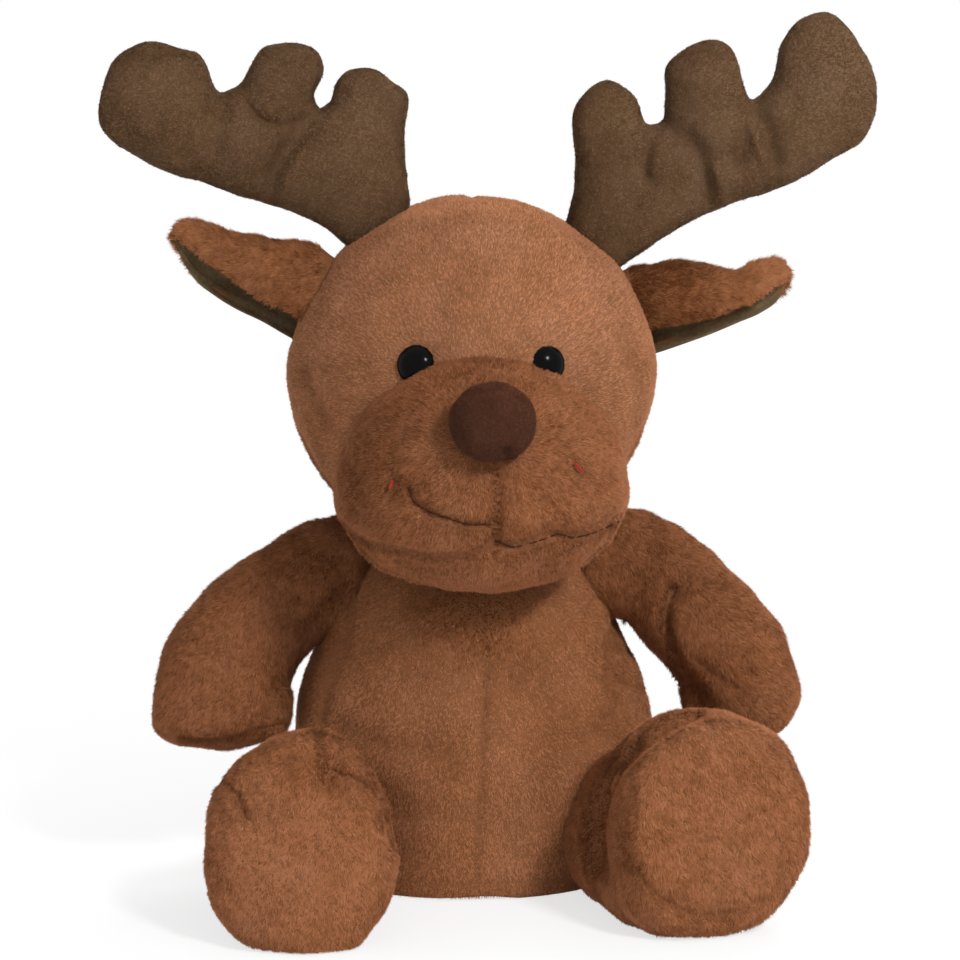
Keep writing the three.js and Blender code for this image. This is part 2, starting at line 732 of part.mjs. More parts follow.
function buildTorso() {
  const limbs = [arms.left, arms.right, legs.left, legs.right];
  const linings = limbs.map(({ joint }) => pocketFor(joint, CLOTH));
  const pockets = limbs.map(({ joint }) => pocketFor(joint));
  const neckMouth = rod(at(0, 0, TORSO_HEIGHT / 2), UP, NECK_MOUTH_RADIUS, TORSO_HEIGHT, ROUND_INNER);
  const cavity = cutBy(torsoForm(CLOTH, ROUND_INNER), linings);
  const skin = cutBy(torsoOuter, [cavity, neckMouth, ...pockets]);
  const walls = skin.intersect(beyond.above(BASE_PANEL_RISE));
  const sideSeam = bellyHalfDepth * SIDE_SEAM_Y_SHARE;
  const front = walls.intersect(beyond.inFrontOf(sideSeam));
  addPiece(plushDeer, "torso_front_left", front.intersect(beyond.left), "plush");
  addPiece(plushDeer, "torso_front_right", front.intersect(beyond.right), "plush");
  addPiece(plushDeer, "torso_back", walls.intersect(beyond.behind(sideSeam)), "plush");
  addPiece(plushDeer, "torso_base", skin.intersect(beyond.under(BASE_PANEL_RISE)), "plush");

  const clearOfLimbs = limbs.map(({ joint }) => pocketFor(joint, CLOTH + SEAM_GAP));
  const stuffing = cutBy(torsoForm(CLOTH + SEAM_GAP, ROUND_INNER), clearOfLimbs);
  const bagFloor = CLOTH + SEAM_GAP;
  const bag = oval(
    at(0, 0, bagFloor + BEAN_BAG_HEIGHT / 2),
    at(BEAN_BAG_HALF_WIDTH, BEAN_BAG_HALF_WIDTH * TORSO_DEPTH_SHARE, BEAN_BAG_HEIGHT / 2),
    ROUND_INNER,
  );
  const bagSpace = oval(
    at(0, 0, bagFloor + BEAN_BAG_HEIGHT / 2),
    at(
      BEAN_BAG_HALF_WIDTH + SEAM_GAP,
      BEAN_BAG_HALF_WIDTH * TORSO_DEPTH_SHARE + SEAM_GAP,
      BEAN_BAG_HEIGHT / 2 + SEAM_GAP,
    ),
    ROUND_INNER,
  );
  addPiece(plushDeer, "torso_filling", stuffing.subtract(bagSpace), "filling");
  addPiece(plushDeer, "seat_bean_bag", bag, "beans");
}

// Eyes: a dome on the face with a shank through the cloth and a washer behind it
function eyeForms(side) {
  const x = (SIDES[side] * EYE_SPACING) / 2;
  const inside = 1 - (x / HEAD_HALF_WIDTH) ** 2 - (EYE_LIFT / HEAD_HALF_HEIGHT) ** 2;
  const seat = at(x, -HEAD_HALF_DEPTH * Math.sqrt(inside), EYE_LIFT);
  const outward = at(
    seat.x / HEAD_HALF_WIDTH ** 2,
    seat.y / HEAD_HALF_DEPTH ** 2,
    seat.z / HEAD_HALF_HEIGHT ** 2,
  ).normalize();
  const middle = seat.clone().add(at(0, 0, headCentre.z));
  const arcSteps = 3;
  const profile = [new THREE.Vector2(0, -OVERRUN), new THREE.Vector2(EYE_RADIUS, -OVERRUN)];
  for (let i = 0; i <= arcSteps; i++) {
    const turn = (Math.PI / 2) * (i / arcSteps);
    const out = i === arcSteps ? 0 : EYE_RADIUS * Math.cos(turn);
    profile.push(new THREE.Vector2(out, EYE_DOME * Math.sin(turn)));
  }
  const brow = muzzleForm(-SEAM_GAP, ROUND).subtract(headOuter);
  const dome = cutBy(turned(profile, middle, outward, LOBE_SIDES), [headGrown, brow]);
  const inward = outward.clone().negate();
  const shankFrom = middle.clone().addScaledVector(outward, EYE_DOME / 2);
  const shankLength = SHANK_LENGTH + EYE_DOME / 2;
  const shank = rod(shankFrom, inward, SHANK_RADIUS, shankLength, LIMB_SIDES_INNER);
  const hole = rod(shankFrom, inward, SHANK_RADIUS + SEAM_GAP, shankLength + OVERRUN, LIMB_SIDES_INNER);
  const behindCloth = middle.clone().addScaledVector(inward, CLOTH);
  const washerFrom = behindCloth.clone().addScaledVector(inward, SEAM_GAP);
  const washer = rod(washerFrom, inward, WASHER_RADIUS, WASHER_THICKNESS, ROOT_SIDES);
  const space = rod(behindCloth, inward, WASHER_RADIUS + SEAM_GAP, SHANK_LENGTH, ROOT_SIDES);
  return { eye: dome.add(shank), hole, washer: washer.subtract(hole), space };
}

function buildHead() {
  const eyes = { left: eyeForms("left"), right: eyeForms("right") };
  const joints = [ears.left, ears.right, antlers.left, antlers.right].map(({ joint }) => joint);
  const pockets = joints.map((joint) => pocketFor(joint));
  const torsoMiddle = at(0, 0, TORSO_HEIGHT / 2);
  const neckMouth = rod(torsoMiddle, UP, NECK_MOUTH_RADIUS, HEAD_HALF_HEIGHT * 2, ROUND_INNER);
  const neckLining = torsoForm(-SEAM_GAP - CLOTH, ROUND_INNER);
  const rootWalls = joints.map((joint) => pocketFor(joint, CLOTH));
  const cavity = cutBy(headForm(CLOTH, ROUND_INNER), [neckLining, ...rootWalls]);
  const holes = [eyes.left.hole, eyes.right.hole, eyes.left.space, eyes.right.space];
  const skin = cutBy(headOuter, [cavity, torsoGrown, neckMouth, ...pockets, ...holes]);
  addPiece(head, "head_front", skin.intersect(beyond.inFrontOf(HEAD_SEAM_Y)), "plush");
  addPiece(head, "head_back", skin.intersect(beyond.behind(HEAD_SEAM_Y)), "plush");

  const fillingCuts = [
    torsoForm(-2 * SEAM_GAP - CLOTH, ROUND_INNER),
    ...joints.map((joint) => pocketFor(joint, CLOTH + SEAM_GAP)),
    eyes.left.space,
    eyes.right.space,
  ];
  addPiece(head, "head_filling", cutBy(headForm(CLOTH + SEAM_GAP, ROUND_INNER), fillingCuts), "filling");
  for (const side of ["left", "right"]) {
    addPiece(head, "eye_" + side, eyes[side].eye, "eye");
    addPiece(head, "eye_washer_" + side, eyes[side].washer, "washer");
  }
}

function buildMuzzle() {
  const hollow = muzzleForm(CLOTH, ROUND_INNER);
  const neckSpace = torsoForm(-2 * SEAM_GAP, ROUND);
  const skin = cutBy(muzzleOuter, [hollow, headGrown, neckSpace]);
  const chinSeam = muzzleCentre.z - CHIN_SEAM_DROP;
  const cheeks = skin.intersect(beyond.above(chinSeam));
  addPiece(head, "muzzle_left", cheeks.intersect(beyond.left), "muzzle");
  addPiece(head, "muzzle_right", cheeks.intersect(beyond.right), "muzzle");
  addPiece(head, "muzzle_chin", skin.intersect(beyond.under(chinSeam)), "muzzle");
  const stuffing = cutBy(muzzleForm(CLOTH + SEAM_GAP, ROUND_INNER), [headGrown, neckSpace]);
  addPiece(head, "muzzle_filling", stuffing, "filling");

  const noseY = muzzleFront(NOSE_LIFT) - NOSE_HALF_DEPTH + NOSE_SINK;
  const nosePlace = at(0, noseY, muzzleCentre.z + NOSE_LIFT);
  const noseForm = oval(nosePlace, at(NOSE_HALF_WIDTH, NOSE_HALF_DEPTH, NOSE_HALF_HEIGHT), LIMB_SIDES);
  addPiece(head, "nose", noseForm.subtract(muzzleForm(-SEAM_GAP, ROUND)), "nose");
}

// What a piece is cut by: its neighbour, except where its own root nests
function around(neighbour, joint) {
  return neighbour.subtract(rootForm(joint, 0));
}

function buildEar(side) {
  const { outer, lining, joint } = ears[side];
  const body = bodyAt("ear_" + side, joint.pivot, head);
  addPiece(body, "ear_" + side + "_outer", outer.subtract(around(headGrown, joint)), "plush");
  addPiece(body, "ear_" + side + "_lining", lining.subtract(headGrown), "lining");
}

function buildAntler(side) {
  const { skin, filling, joint } = antlers[side];
  const body = bodyAt("antler_" + side, joint.pivot, head);
  const cleared = skin.subtract(around(headGrown, joint));
  addPiece(body, "antler_" + side + "_front", cleared.intersect(beyond.inFrontOf(HEAD_SEAM_Y)), "antler");
  addPiece(body, "antler_" + side + "_back", cleared.intersect(beyond.behind(HEAD_SEAM_Y)), "antler");
  addPiece(body, "antler_" + side + "_filling", filling, "filling");
}

function buildArm(side) {
  const { skin, filling, joint } = arms[side];
  const body = bodyAt("arm_" + side, joint.pivot, plushDeer);
  const passing = ARM_SWING_ANGLES.map((stop) => torsoPassing(joint, stop));
  const bodies = [torsoGrown, ...passing].map((torso) => around(torso, joint));
  const cleared = cutBy(skin, [...bodies, legs[side].grown, headGrown]);
  addPiece(body, "arm_" + side + "_skin", cleared, "plush");
  const fillingSpace = torsoForm(-SEAM_GAP - CLOTH, ROUND);
  addPiece(body, "arm_" + side + "_filling", filling.subtract(fillingSpace), "filling");
}

function buildLeg(side) {
  const { skin, filling, joint, sole, normal } = legs[side];
  const body = bodyAt("leg_" + side, joint.pivot, plushDeer);
  const passing = LEG_LIFT_ANGLES.map((stop) => torsoPassing(joint, stop));
  const bodies = [torsoGrown, ...passing].map((torso) => around(torso, joint));
  const cleared = cutBy(skin, [...bodies, below(0)]);
  const seam = sole.clone().addScaledVector(normal, -SOLE_PANEL_DEPTH);
  const reach = 2 * SOLE_HALF_HEIGHT;
  const pastSeam = (offset) => {
    const from = seam.clone().addScaledVector(normal, offset);
    return rod(from, normal, reach, reach, SLAB_SIDES);
  };
  addPiece(body, "leg_" + side + "_skin", cleared.subtract(pastSeam(-gapHalf)), "plush");
  addPiece(body, "leg_" + side + "_sole", cleared.intersect(pastSeam(gapHalf)), "plush");
  const fillingSpace = torsoForm(-SEAM_GAP - CLOTH, ROUND);
  addPiece(body, "leg_" + side + "_filling", filling.subtract(fillingSpace), "filling");
}

buildTorso();
buildHead();
buildMuzzle();
for (const side of ["left", "right"]) {
  buildEar(side);
  buildAntler(side);
  buildArm(side);
  buildLeg(side);
}

export default plushDeer;
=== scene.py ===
"""Looks for a seated plush deer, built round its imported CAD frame.

Lengths are in millimetres and angles in degrees until a mesh is made. +Z is up, the face looks
along -Y, and left is the side at -X. Each stuffed piece is a fine closed surface with its seams and
folds pressed in, and its pile is a second mesh of many small leaning tufts.
"""

import math

import bmesh
import bpy
import numpy as np
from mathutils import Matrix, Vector
from mathutils.geometry import delaunay_2d_cdt


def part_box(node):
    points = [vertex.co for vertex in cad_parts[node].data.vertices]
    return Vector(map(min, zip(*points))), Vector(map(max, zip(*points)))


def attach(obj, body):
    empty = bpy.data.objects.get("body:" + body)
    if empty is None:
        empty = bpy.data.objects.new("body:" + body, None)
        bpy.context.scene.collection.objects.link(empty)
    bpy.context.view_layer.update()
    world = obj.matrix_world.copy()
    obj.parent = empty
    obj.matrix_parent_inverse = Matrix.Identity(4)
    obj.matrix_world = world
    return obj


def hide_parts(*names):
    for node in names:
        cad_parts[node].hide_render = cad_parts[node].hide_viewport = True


MM = 0.001
SIDE_X = {"left": -1, "right": 1}
UP = np.array([0.0, 0.0, 1.0])
BACK = np.array([0.0, 1.0, 0.0])

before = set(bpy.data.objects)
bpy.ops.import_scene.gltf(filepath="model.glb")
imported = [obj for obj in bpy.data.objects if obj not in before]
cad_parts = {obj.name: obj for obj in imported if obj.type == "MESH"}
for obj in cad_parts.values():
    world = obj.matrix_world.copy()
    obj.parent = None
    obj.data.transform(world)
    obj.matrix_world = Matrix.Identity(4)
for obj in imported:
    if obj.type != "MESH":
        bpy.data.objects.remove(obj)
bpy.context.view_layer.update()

# The photograph's view: a long lens, a little left of straight ahead and a little above
VIEW_AZIMUTH = -3.3
VIEW_ELEVATION = 10
VIEW_DISTANCE = 1300
VIEW_CENTRE = np.array([0.0, 0.0, 138.0])
VIEW_AIM = (2.2, -14.6)  # right and up of the centre, where the camera points
LENS_LENGTH = 157.26


def unit(v):
    return v / np.maximum(np.linalg.norm(v, axis=-1, keepdims=True), 1e-9)


def facing(turn, lift):
    """The direction that is turned from -Y towards +X and lifted, in degrees."""
    turn, lift = math.radians(turn), math.radians(lift)
    return np.array(
        [math.sin(turn) * math.cos(lift), -math.cos(turn) * math.cos(lift), math.sin(lift)]
    )


def on_side(side, point):
    """A point or points given for the right side, on a side."""
    return np.asarray(point, float) * (SIDE_X[side], 1, 1)


view_back = facing(VIEW_AZIMUTH, VIEW_ELEVATION)
view_turn = math.radians(VIEW_AZIMUTH)
view_right = np.array([math.cos(view_turn), math.sin(view_turn), 0.0])
view_up = np.cross(view_back, view_right)
view_from = VIEW_CENTRE + view_back * VIEW_DISTANCE


def seen(points):
    """Points as the photograph shows them: millimetres right and up of the view's centre."""
    away = points - view_from
    depth = -(away @ view_back)
    flat = np.stack([away @ view_right, away @ view_up], -1)
    return flat * (VIEW_DISTANCE / depth)[:, None]


# Numbers that vary smoothly


def eased(rows, place):
    """The values of a table of [place, value ...] rows at places, eased between rows."""
    rows = np.asarray(rows, float)
    xs, ys = rows[:, 0], rows[:, 1:]
    slope = np.gradient(ys, xs, axis=0)
    x = np.clip(np.asarray(place, float), xs[0], xs[-1])
    i = np.clip(np.searchsorted(xs, x, side="right") - 1, 0, len(xs) - 2)
    h = (xs[i + 1] - xs[i])[..., None]
    t = (x - xs[i])[..., None] / h
    return (
        (1 + 2 * t) * (1 - t) ** 2 * ys[i]
        + t * (1 - t) ** 2 * h * slope[i]
        + t * t * (3 - 2 * t) * ys[i + 1]
        + t * t * (t - 1) * h * slope[i + 1]
    )


def line_table(points):
    """A polyline as a table by length, for eased."""
    points = np.asarray(points, float)
    run = np.concatenate([[0], np.cumsum(np.linalg.norm(np.diff(points, axis=0), axis=1))])
    return np.column_stack([run, points]), run[-1]


def resampled(points, step):
    table, length = line_table(points)
    return eased(table, np.linspace(0, length, max(2, round(length / step) + 1)))


def noise(points, size, seed, octaves=2):
    """Smooth values about 0, mostly within 1, whose lumps are about that size."""
    rng = np.random.default_rng(seed)
    total = np.zeros(len(points))
    for octave in range(octaves):
        waves = unit(rng.normal(size=(18, 3))) * (2 * math.pi / size * 2**octave)
        waves *= rng.uniform(0.6, 1.3, (18, 1))
        phases = rng.uniform(0, 2 * math.pi, 18)
        total += np.sin(points @ waves.T + phases).sum(1) / 6 / 1.8**octave
    return total


def noise_vectors(points, size, seed):
    return np.stack([noise(points, size, seed + k) for k in range(3)], -1)


def distance_to_line(points, line):
    """The least distance from points to a polyline, in two or three dimensions."""
    best = np.full(len(points), 1e9)
    for a, b in zip(line[:-1], line[1:]):
        run = b - a
        t = np.clip((points - a) @ run / max(run @ run, 1e-9), 0, 1)
        best = np.minimum(best, np.linalg.norm(points - a - t[:, None] * run, axis=1))
    return best


# Surfaces: points and triangles, with normals


def vertex_normals(points, faces):
    a, b, c = (points[faces[:, k]] for k in range(3))
    weighted = np.cross(b - a, c - a)
    normals = np.zeros_like(points)
    for k in range(3):
        np.add.at(normals, faces[:, k], weighted)
    return unit(normals)


def ball(level):
    bm = bmesh.new()
    bmesh.ops.create_icosphere(bm, subdivisions=level, radius=1)
    points = np.array([v.co for v in bm.verts])
    faces = np.array([[v.index for v in f.verts] for f in bm.faces])
    bm.free()
    return points, faces


def ring_faces(rings, sides):
    """Triangles that join rings of points, with a point before the first and after the last."""
    r, s = np.meshgrid(np.arange(rings - 1), np.arange(sides), indexing="ij")
    a = 1 + r * sides + s
    b = 1 + r * sides + (s + 1) % sides
    faces = [np.stack([a, b, b + sides], -1), np.stack([a, b + sides, a + sides], -1)]
    side = np.arange(sides)
    start = np.stack([np.zeros(sides, int), 1 + (side + 1) % sides, 1 + side], -1)
    last = 1 + (rings - 1) * sides
    tip = np.stack([np.full(sides, last + sides), last + side, last + (side + 1) % sides], -1)
    return np.concatenate([f.reshape(-1, 3) for f in faces] + [start, tip])


def outward(points, faces):
    """The same triangles, turned to face outward."""
    a, b, c = (points[faces[:, k]] for k in range(3))
    volume = np.einsum("ij,ij->i", a, np.cross(b, c)).sum()
    return faces[:, ::-1] if volume < 0 else faces


def swept(line, sections, size, across, caps, sides, squareness, tip_squareness):
    """A stuffed form along a line, oval in section, with a rounded cap past each end.

    sections holds rows of a place from 0 to 1 and two shares of size, which is half the width and
    half the thickness of the form outside its pile."""
    table, length = line_table(resampled(line, 0.5))
    sections = [[row[0], *(np.array(row[1:]) * size - PILE_SINK)] for row in sections]
    step = 0.8
    middle = np.linspace(0, length, max(2, round(length / step)))
    quarter = np.linspace(0.06, 1, 16)[:-1] * math.pi / 2
    power = 2 / tip_squareness
    start = -caps[0] * np.cos(quarter)
    end = length + caps[1] * np.sin(quarter) ** power
    places = np.concatenate([start, middle, end])
    narrowing = np.concatenate([np.sin(quarter), np.ones(len(middle)), np.cos(quarter) ** power])
    held = np.clip(places, 0, length)
    points = eased(table, held)
    step_along = unit(eased(table, held + 0.5) - eased(table, held - 0.5))
    points = points + step_along * (places - held)[:, None]
    thick = unit(across - step_along * (step_along @ across)[:, None])
    wide = np.cross(thick, step_along)
    half = eased(sections, held / length) * narrowing[:, None]
    turn = np.linspace(0, 2 * math.pi, sides, endpoint=False)
    round_x = np.sign(np.cos(turn)) * np.abs(np.cos(turn)) ** (2 / squareness)
    round_y = np.sign(np.sin(turn)) * np.abs(np.sin(turn)) ** (2 / squareness)
    rings = (
        points[:, None]
        + wide[:, None] * (half[:, :1] * round_x)[..., None]
        + thick[:, None] * (half[:, 1:2] * round_y)[..., None]
    )
    first = points[0] - step_along[0] * (caps[0] + places[0])
    last = points[-1] + step_along[-1] * (length + caps[1] - places[-1])
    made = np.concatenate([first[None], rings.reshape(-1, 3), last[None]])
    return made, outward(made, ring_faces(len(places), sides))


# Seams and folds. Each gives the distance from points to itself


def across_view(line):
    """A seam or fold drawn on the side that the photograph shows."""
    path = resampled(line, 2)

    def distance(points, normals):
        found = distance_to_line(seen(points), path)
        return np.where(normals @ view_back > 0.05, found, 1e3)

    return distance


def in_plane(point, normal, where=None):
    """A seam where the surface meets a plane."""
    point, normal = np.asarray(point, float), unit(np.asarray(normal, float))

    def distance(points, normals):
        found = np.abs((points - point) @ normal)
        return found if where is None else np.where(where(points, normals), found, 1e3)

    return distance


def behind(points, normals):
    return points[:, 1] > 0


def across_front(line):
    """A fold drawn over x and z, the same on the front and the back."""
    path = resampled(line, 1)
    return lambda points, normals: distance_to_line(points[:, [0, 2]], path)


def about(centre):
    centre = np.asarray(centre, float)
    return lambda points, normals: np.linalg.norm(points - centre, axis=1)


def drawn(rows):
    """Presses along lines drawn on the side that the photograph shows: (line, depth, width) each."""
    return [(across_view(line), depth, width) for line, depth, width in rows]


def pressed(points, faces, presses):
    """The surface with seams, folds and dimples pressed in: (distance, depth, width) each."""
    for distance, depth, width in presses:
        normals = vertex_normals(points, faces)
        found = distance(points, normals)
        points = points - normals * (depth * np.exp(-((found / width) ** 2)))[:, None]
    return points


def lumpy(points, faces, size, height, seed):
    normals = vertex_normals(points, faces)
    return points + normals * (height * noise(points, size, seed))[:, None]


# Objects


def mesh_object(name, points, faces, material):
    mesh = bpy.data.meshes.new(name)
    mesh.vertices.add(len(points))
    mesh.vertices.foreach_set("co", (np.asarray(points) * MM).astype(np.float32).ravel())
    mesh.loops.add(faces.size)
    mesh.loops.foreach_set("vertex_index", faces.astype(np.int32).ravel())
    mesh.polygons.add(len(faces))
    mesh.polygons.foreach_set("loop_start", np.arange(0, faces.size, 3, dtype=np.int32))
    mesh.polygons.foreach_set("use_smooth", np.ones(len(faces), bool))
    mesh.update(calc_edges=True)
    mesh.materials.append(material)
    made = bpy.data.objects.new(name, mesh)
    bpy.context.scene.collection.objects.link(made)
    return made


def add_values(obj, name, values):
    attribute = obj.data.attributes.new(name, "FLOAT", "POINT")
    attribute.data.foreach_set("value", values.astype(np.float32))


PILE_SINK = 0.8  # how far the ground of the cloth lies inside the outline of the pile
FLOOR_CLEAR = 0.3  # how far the pile stays above the floor
CLUMP_TONE, TUFT_TONE = 0.45, 0.55  # how far clumps of tufts and single tufts differ in tone
GLINT_SHARE, GLINT_TONE = 0.05, 1.6  # fibres painted lighter at random: painted glints
FOLD_SHADE = 1.7  # how fast the pile is painted darker with the steepness of a fold, as painted shade, and lighter on a ridge, as painted light
TUFT_SINK = 0.25  # how deep a tuft's foot stands in the ground
SURFACE_SHADING = 0.85  # how far a tuft is shaded as the surface under it


def pile(parent, name, surface, material, seed, spec, comb, presses=(), skip=None, painted_light_and_shade=None):
    """Tufts over a surface, each a narrow leaning triangle shaded as the surface is.

    spec holds count, length, width, lean (degrees off the surface), stray and clump size.
    skip says which of the surface's triangles are bare, and the last argument gives painted light and
    shade: how much lighter or darker the pile is painted in places.
    The pile is short in narrow folds, painted darker there as painted shade and painted lighter on
    ridges as painted light.
    """
    rng = np.random.default_rng(seed)
    points, faces = surface
    count, length, width, lean, stray, clump = spec
    a, b, c = (points[faces[:, k]] for k in range(3))
    area = np.linalg.norm(np.cross(b - a, c - a), axis=1) / 2
    normals = vertex_normals(points, faces)
    if skip is not None:
        area = area * ~skip((a + b + c) / 3, np.arange(len(faces)))
    chosen = np.sort(rng.choice(len(faces), count, p=area / area.sum()))
    u, v = rng.random((2, count, 1))
    over = (u + v > 1).astype(float)
    u, v = u + over * (1 - 2 * u), v + over * (1 - 2 * v)
    shares = [1 - u - v, u, v]
    root = sum(points[faces[chosen, k]] * shares[k] for k in range(3))
    out = unit(sum(normals[faces[chosen, k]] * shares[k] for k in range(3)))
    wander = noise_vectors(root, clump, seed + 50) * stray
    wander += noise_vectors(root, clump * 4, seed + 60) * stray * 0.6
    way = comb(root, out) + wander + rng.normal(size=(count, 3)) * stray * 0.45
    way = unit(way - out * np.einsum("ij,ij->i", way, out)[:, None])
    tone = noise(root, clump * 1.3, seed + 70) * CLUMP_TONE + rng.normal(size=count) * TUFT_TONE
    tone = tone + GLINT_TONE * (rng.random(count) < GLINT_SHARE)
    # Painted light and shade from soft patches, added to the tufts' tone
    if painted_light_and_shade is not None:
        tone = tone + painted_light_and_shade(root)
    rise = 1 + 0.3 * rng.normal(size=count) + 0.3 * noise(root, clump, seed + 80)
    rise = np.clip(np.radians(lean * rise), 0.06, 1.4)[:, None]
    long = length * rng.uniform(0.7, 1.25, count)
    # Painted shade: tufts are darker in narrow folds, seams and creases, and painted lighter on ridges
    for distance, depth, reach in presses:
        narrow = depth / reach
        near = np.exp(-((distance(root, out) / max(reach, 1.2)) ** 2))
        tone = tone - FOLD_SHADE * narrow * near
        long = long * (1 - np.clip(0.5 * narrow, 0, 0.7) * near)
    tip = root + (way * np.cos(rise) + out * np.sin(rise)) * long[:, None]
    half = np.cross(way, out) * (width / 2 * rng.uniform(0.7, 1.3, count))[:, None]
    low = root - out * TUFT_SINK
    tufts = np.stack([low - half, low + half, tip], 1).reshape(-1, 3)
    tufts[:, 2] = np.maximum(tufts[:, 2], FLOOR_CLEAR)
    made = mesh_object(name, tufts, np.arange(3 * count).reshape(-1, 3), material)
    face_out = unit(np.cross(half, tip - low))
    shading = unit(out * SURFACE_SHADING + face_out * (1 - SURFACE_SHADING))
    made.data.normals_split_custom_set_from_vertices(np.repeat(shading, 3, 0))
    add_values(made, "tone", np.repeat(tone, 3))
    add_values(made, "tip", np.tile([0.0, 0.0, 1.0], count))
    cells = math.ceil(math.sqrt(count))
    corner = np.stack([np.arange(count) % cells, np.arange(count) // cells], -1)[:, None]
    spread = np.array([[0.02, 0.02], [0.98, 0.02], [0.5, 0.98]])
    layer = made.data.uv_layers.new(name="OFBake")
    places = ((corner + spread) / cells).astype(np.float32)
    layer.uv.foreach_set("vector", places.ravel())
    made.parent = parent


# Materials
GROUND = 0.8  # how dark the ground of a cloth is against its pile
WARM, COOL = (1.02, 1.0, 0.96), (0.99, 1.0, 1.02)
PALING = (0.85, 1.05, 1.45)  # a dye's light shades are paler and its dark ones richer


class Nodes:
    """A new material or world being wired up."""

    def __init__(self, name, kind=bpy.data.materials):
        self.made = kind.new(name)
        self.made.use_nodes = True
        self.tree = self.made.node_tree
        self.shader = self.tree.nodes.get("Principled BSDF")

    def add(self, kind, **settings):
        node = self.tree.nodes.new(kind)
        for key, value in settings.items():
            setattr(node, key, value)
        return node

    def link(self, output, socket):
        self.tree.links.new(output, socket)

    def place(self):
        return self.add("ShaderNodeTexCoord").outputs["Object"]

    def noise(self, size, detail=3.0, vector=None):
        """Noise whose lumps are about that many millimetres across."""
        node = self.add("ShaderNodeTexNoise")
        node.inputs["Scale"].default_value = 1 / (size * MM)
        node.inputs["Detail"].default_value = detail
        self.link(vector or self.place(), node.inputs["Vector"])
        return node.outputs["Fac"]

    def value(self, name):
        return self.add("ShaderNodeAttribute", attribute_name=name).outputs["Fac"]

    def math(self, operation, a, b, c=None):
        node = self.add("ShaderNodeMath", operation=operation)
        for socket, given in zip(node.inputs, (a, b, c)):
            if given is None:
                continue
            if isinstance(given, (int, float)):
                socket.default_value = given
            else:
                self.link(given, socket)
        return node.outputs[0]

    def ramp(self, value, stops):
        node = self.add("ShaderNodeValToRGB")
        elements = node.color_ramp.elements
        while len(elements) < len(stops):
            elements.new(0.5)
        for element, (place, colour) in zip(elements, stops):
            element.position = place
            element.color = (*colour, 1)
        self.link(value, node.inputs["Fac"])
        return node.outputs["Color"]

    def mapped(self, value, **ends):
        node = self.add("ShaderNodeMapRange")
        for key, end in ends.items():
            node.inputs[key.replace("_", " ")].default_value = end
        self.link(value, node.inputs["Value"])
        return node.outputs["Result"]

    def shown(self, share, first, second, output):
        """Two shaders mixed by a share, sent to the tree's output."""
        mix = self.add("ShaderNodeMixShader")
        for socket, given in zip(mix.inputs, (share, first.outputs[0], second.outputs[0])):
            self.link(given, socket)
        self.link(mix.outputs[0], self.tree.nodes[output].inputs["Surface"])

    def seen_rays(self):
        """1 for a ray that shows the background to the eye, straight, mirrored or through glass."""
        ray = self.add("ShaderNodeLightPath").outputs
        straight = self.math("MAXIMUM", ray["Is Camera Ray"], ray["Is Glossy Ray"])
        return self.math("MAXIMUM", straight, ray["Is Transmission Ray"])

    def multiplied(self, first, second):
        node = self.add("ShaderNodeMix", data_type="RGBA", blend_type="MULTIPLY")
        node.inputs["Factor"].default_value = 1
        self.link(first, node.inputs[6])
        self.link(second, node.inputs[7])
        return node.outputs[2]

    def bump(self, height, strength, distance):
        node = self.add("ShaderNodeBump")
        node.inputs["Strength"].default_value = strength
        node.inputs["Distance"].default_value = distance * MM
        self.link(height, node.inputs["Height"])
        self.link(node.outputs["Normal"], self.shader.inputs["Normal"])

    def set(self, **values):
        for key, value in values.items():
            self.shader.inputs[key.replace("_", " ")].default_value = value


def colour(red, green, blue):
    """A colour written as it is seen, 0 to 255, in the linear values that a shader takes."""
    shares = [c / 255 for c in (red, green, blue)]
    return tuple(c / 12.92 if c <= 0.04045 else ((c + 0.055) / 1.055) ** 2.4 for c in shares)


def cloth(name, shades, patch, tufted=True, sheen=0.5, root_shade=0.72, tuft_tone=0.25):
    """Plush: mottled in patches and in fine lumps, with painted shade down among the roots of its tufts
    and a painted highlight at their tips.
    """
    nodes = Nodes(name)
    deep, dark, middle, light = shades
    mottle = 0.05
    for size, detail, share in ((patch, 2, 0.5), (patch / 5, 3, 0.3), (0.7, 2, 0.14)):
        mottle = nodes.math("MULTIPLY_ADD", nodes.noise(size, detail), share, mottle)
    if tufted:
        mottle = nodes.math("MULTIPLY_ADD", nodes.value("tone"), tuft_tone, mottle)
    shade = nodes.ramp(mottle, [(0.0, deep), (0.26, dark), (0.52, middle), (0.85, light)])
    hue = nodes.ramp(nodes.noise(patch * 2.2, 2), [(0.4, WARM), (0.62, COOL)])
    shade = nodes.multiplied(shade, hue)
    if tufted:
        # painted shade at the roots of the tufts and a painted highlight at their tips
        depth = [(0.0, (root_shade,) * 3), (0.5, (1, 1, 1)), (1.0, (1.12, 1.12, 1.14))]
        shade = nodes.multiplied(shade, nodes.ramp(nodes.value("tip"), depth))
    nodes.link(shade, nodes.shader.inputs["Base Color"])
    nodes.set(Roughness=0.9, Sheen_Weight=sheen, Sheen_Roughness=0.4, Specular_IOR_Level=0.06)
    nodes.shader.inputs["Sheen Tint"].default_value = (*light, 1)
    if not tufted:
        nodes.bump(nodes.noise(0.9, 4), 0.6, 0.5)
    return nodes.made


def shades(*middle, spread):
    """Deep, dark, middle and light of one dye, from the middle as it is seen."""
    dyes = []
    for share in (0.5, 1 - spread, 1, 1 + spread):
        dyes.append(colour(*(min(255, c * share**power) for c, power in zip(middle, PALING))))
    return dyes


def plush(name, middle, patch, spread, **settings):
    """The pile of a cloth and the ground that it stands on."""
    tufts = cloth(f"{name}_pile", shades(*middle, spread=spread), patch, **settings)
    darker = shades(*(c * GROUND for c in middle), spread=spread)
    return tufts, cloth(f"{name}_ground", darker, patch, False)


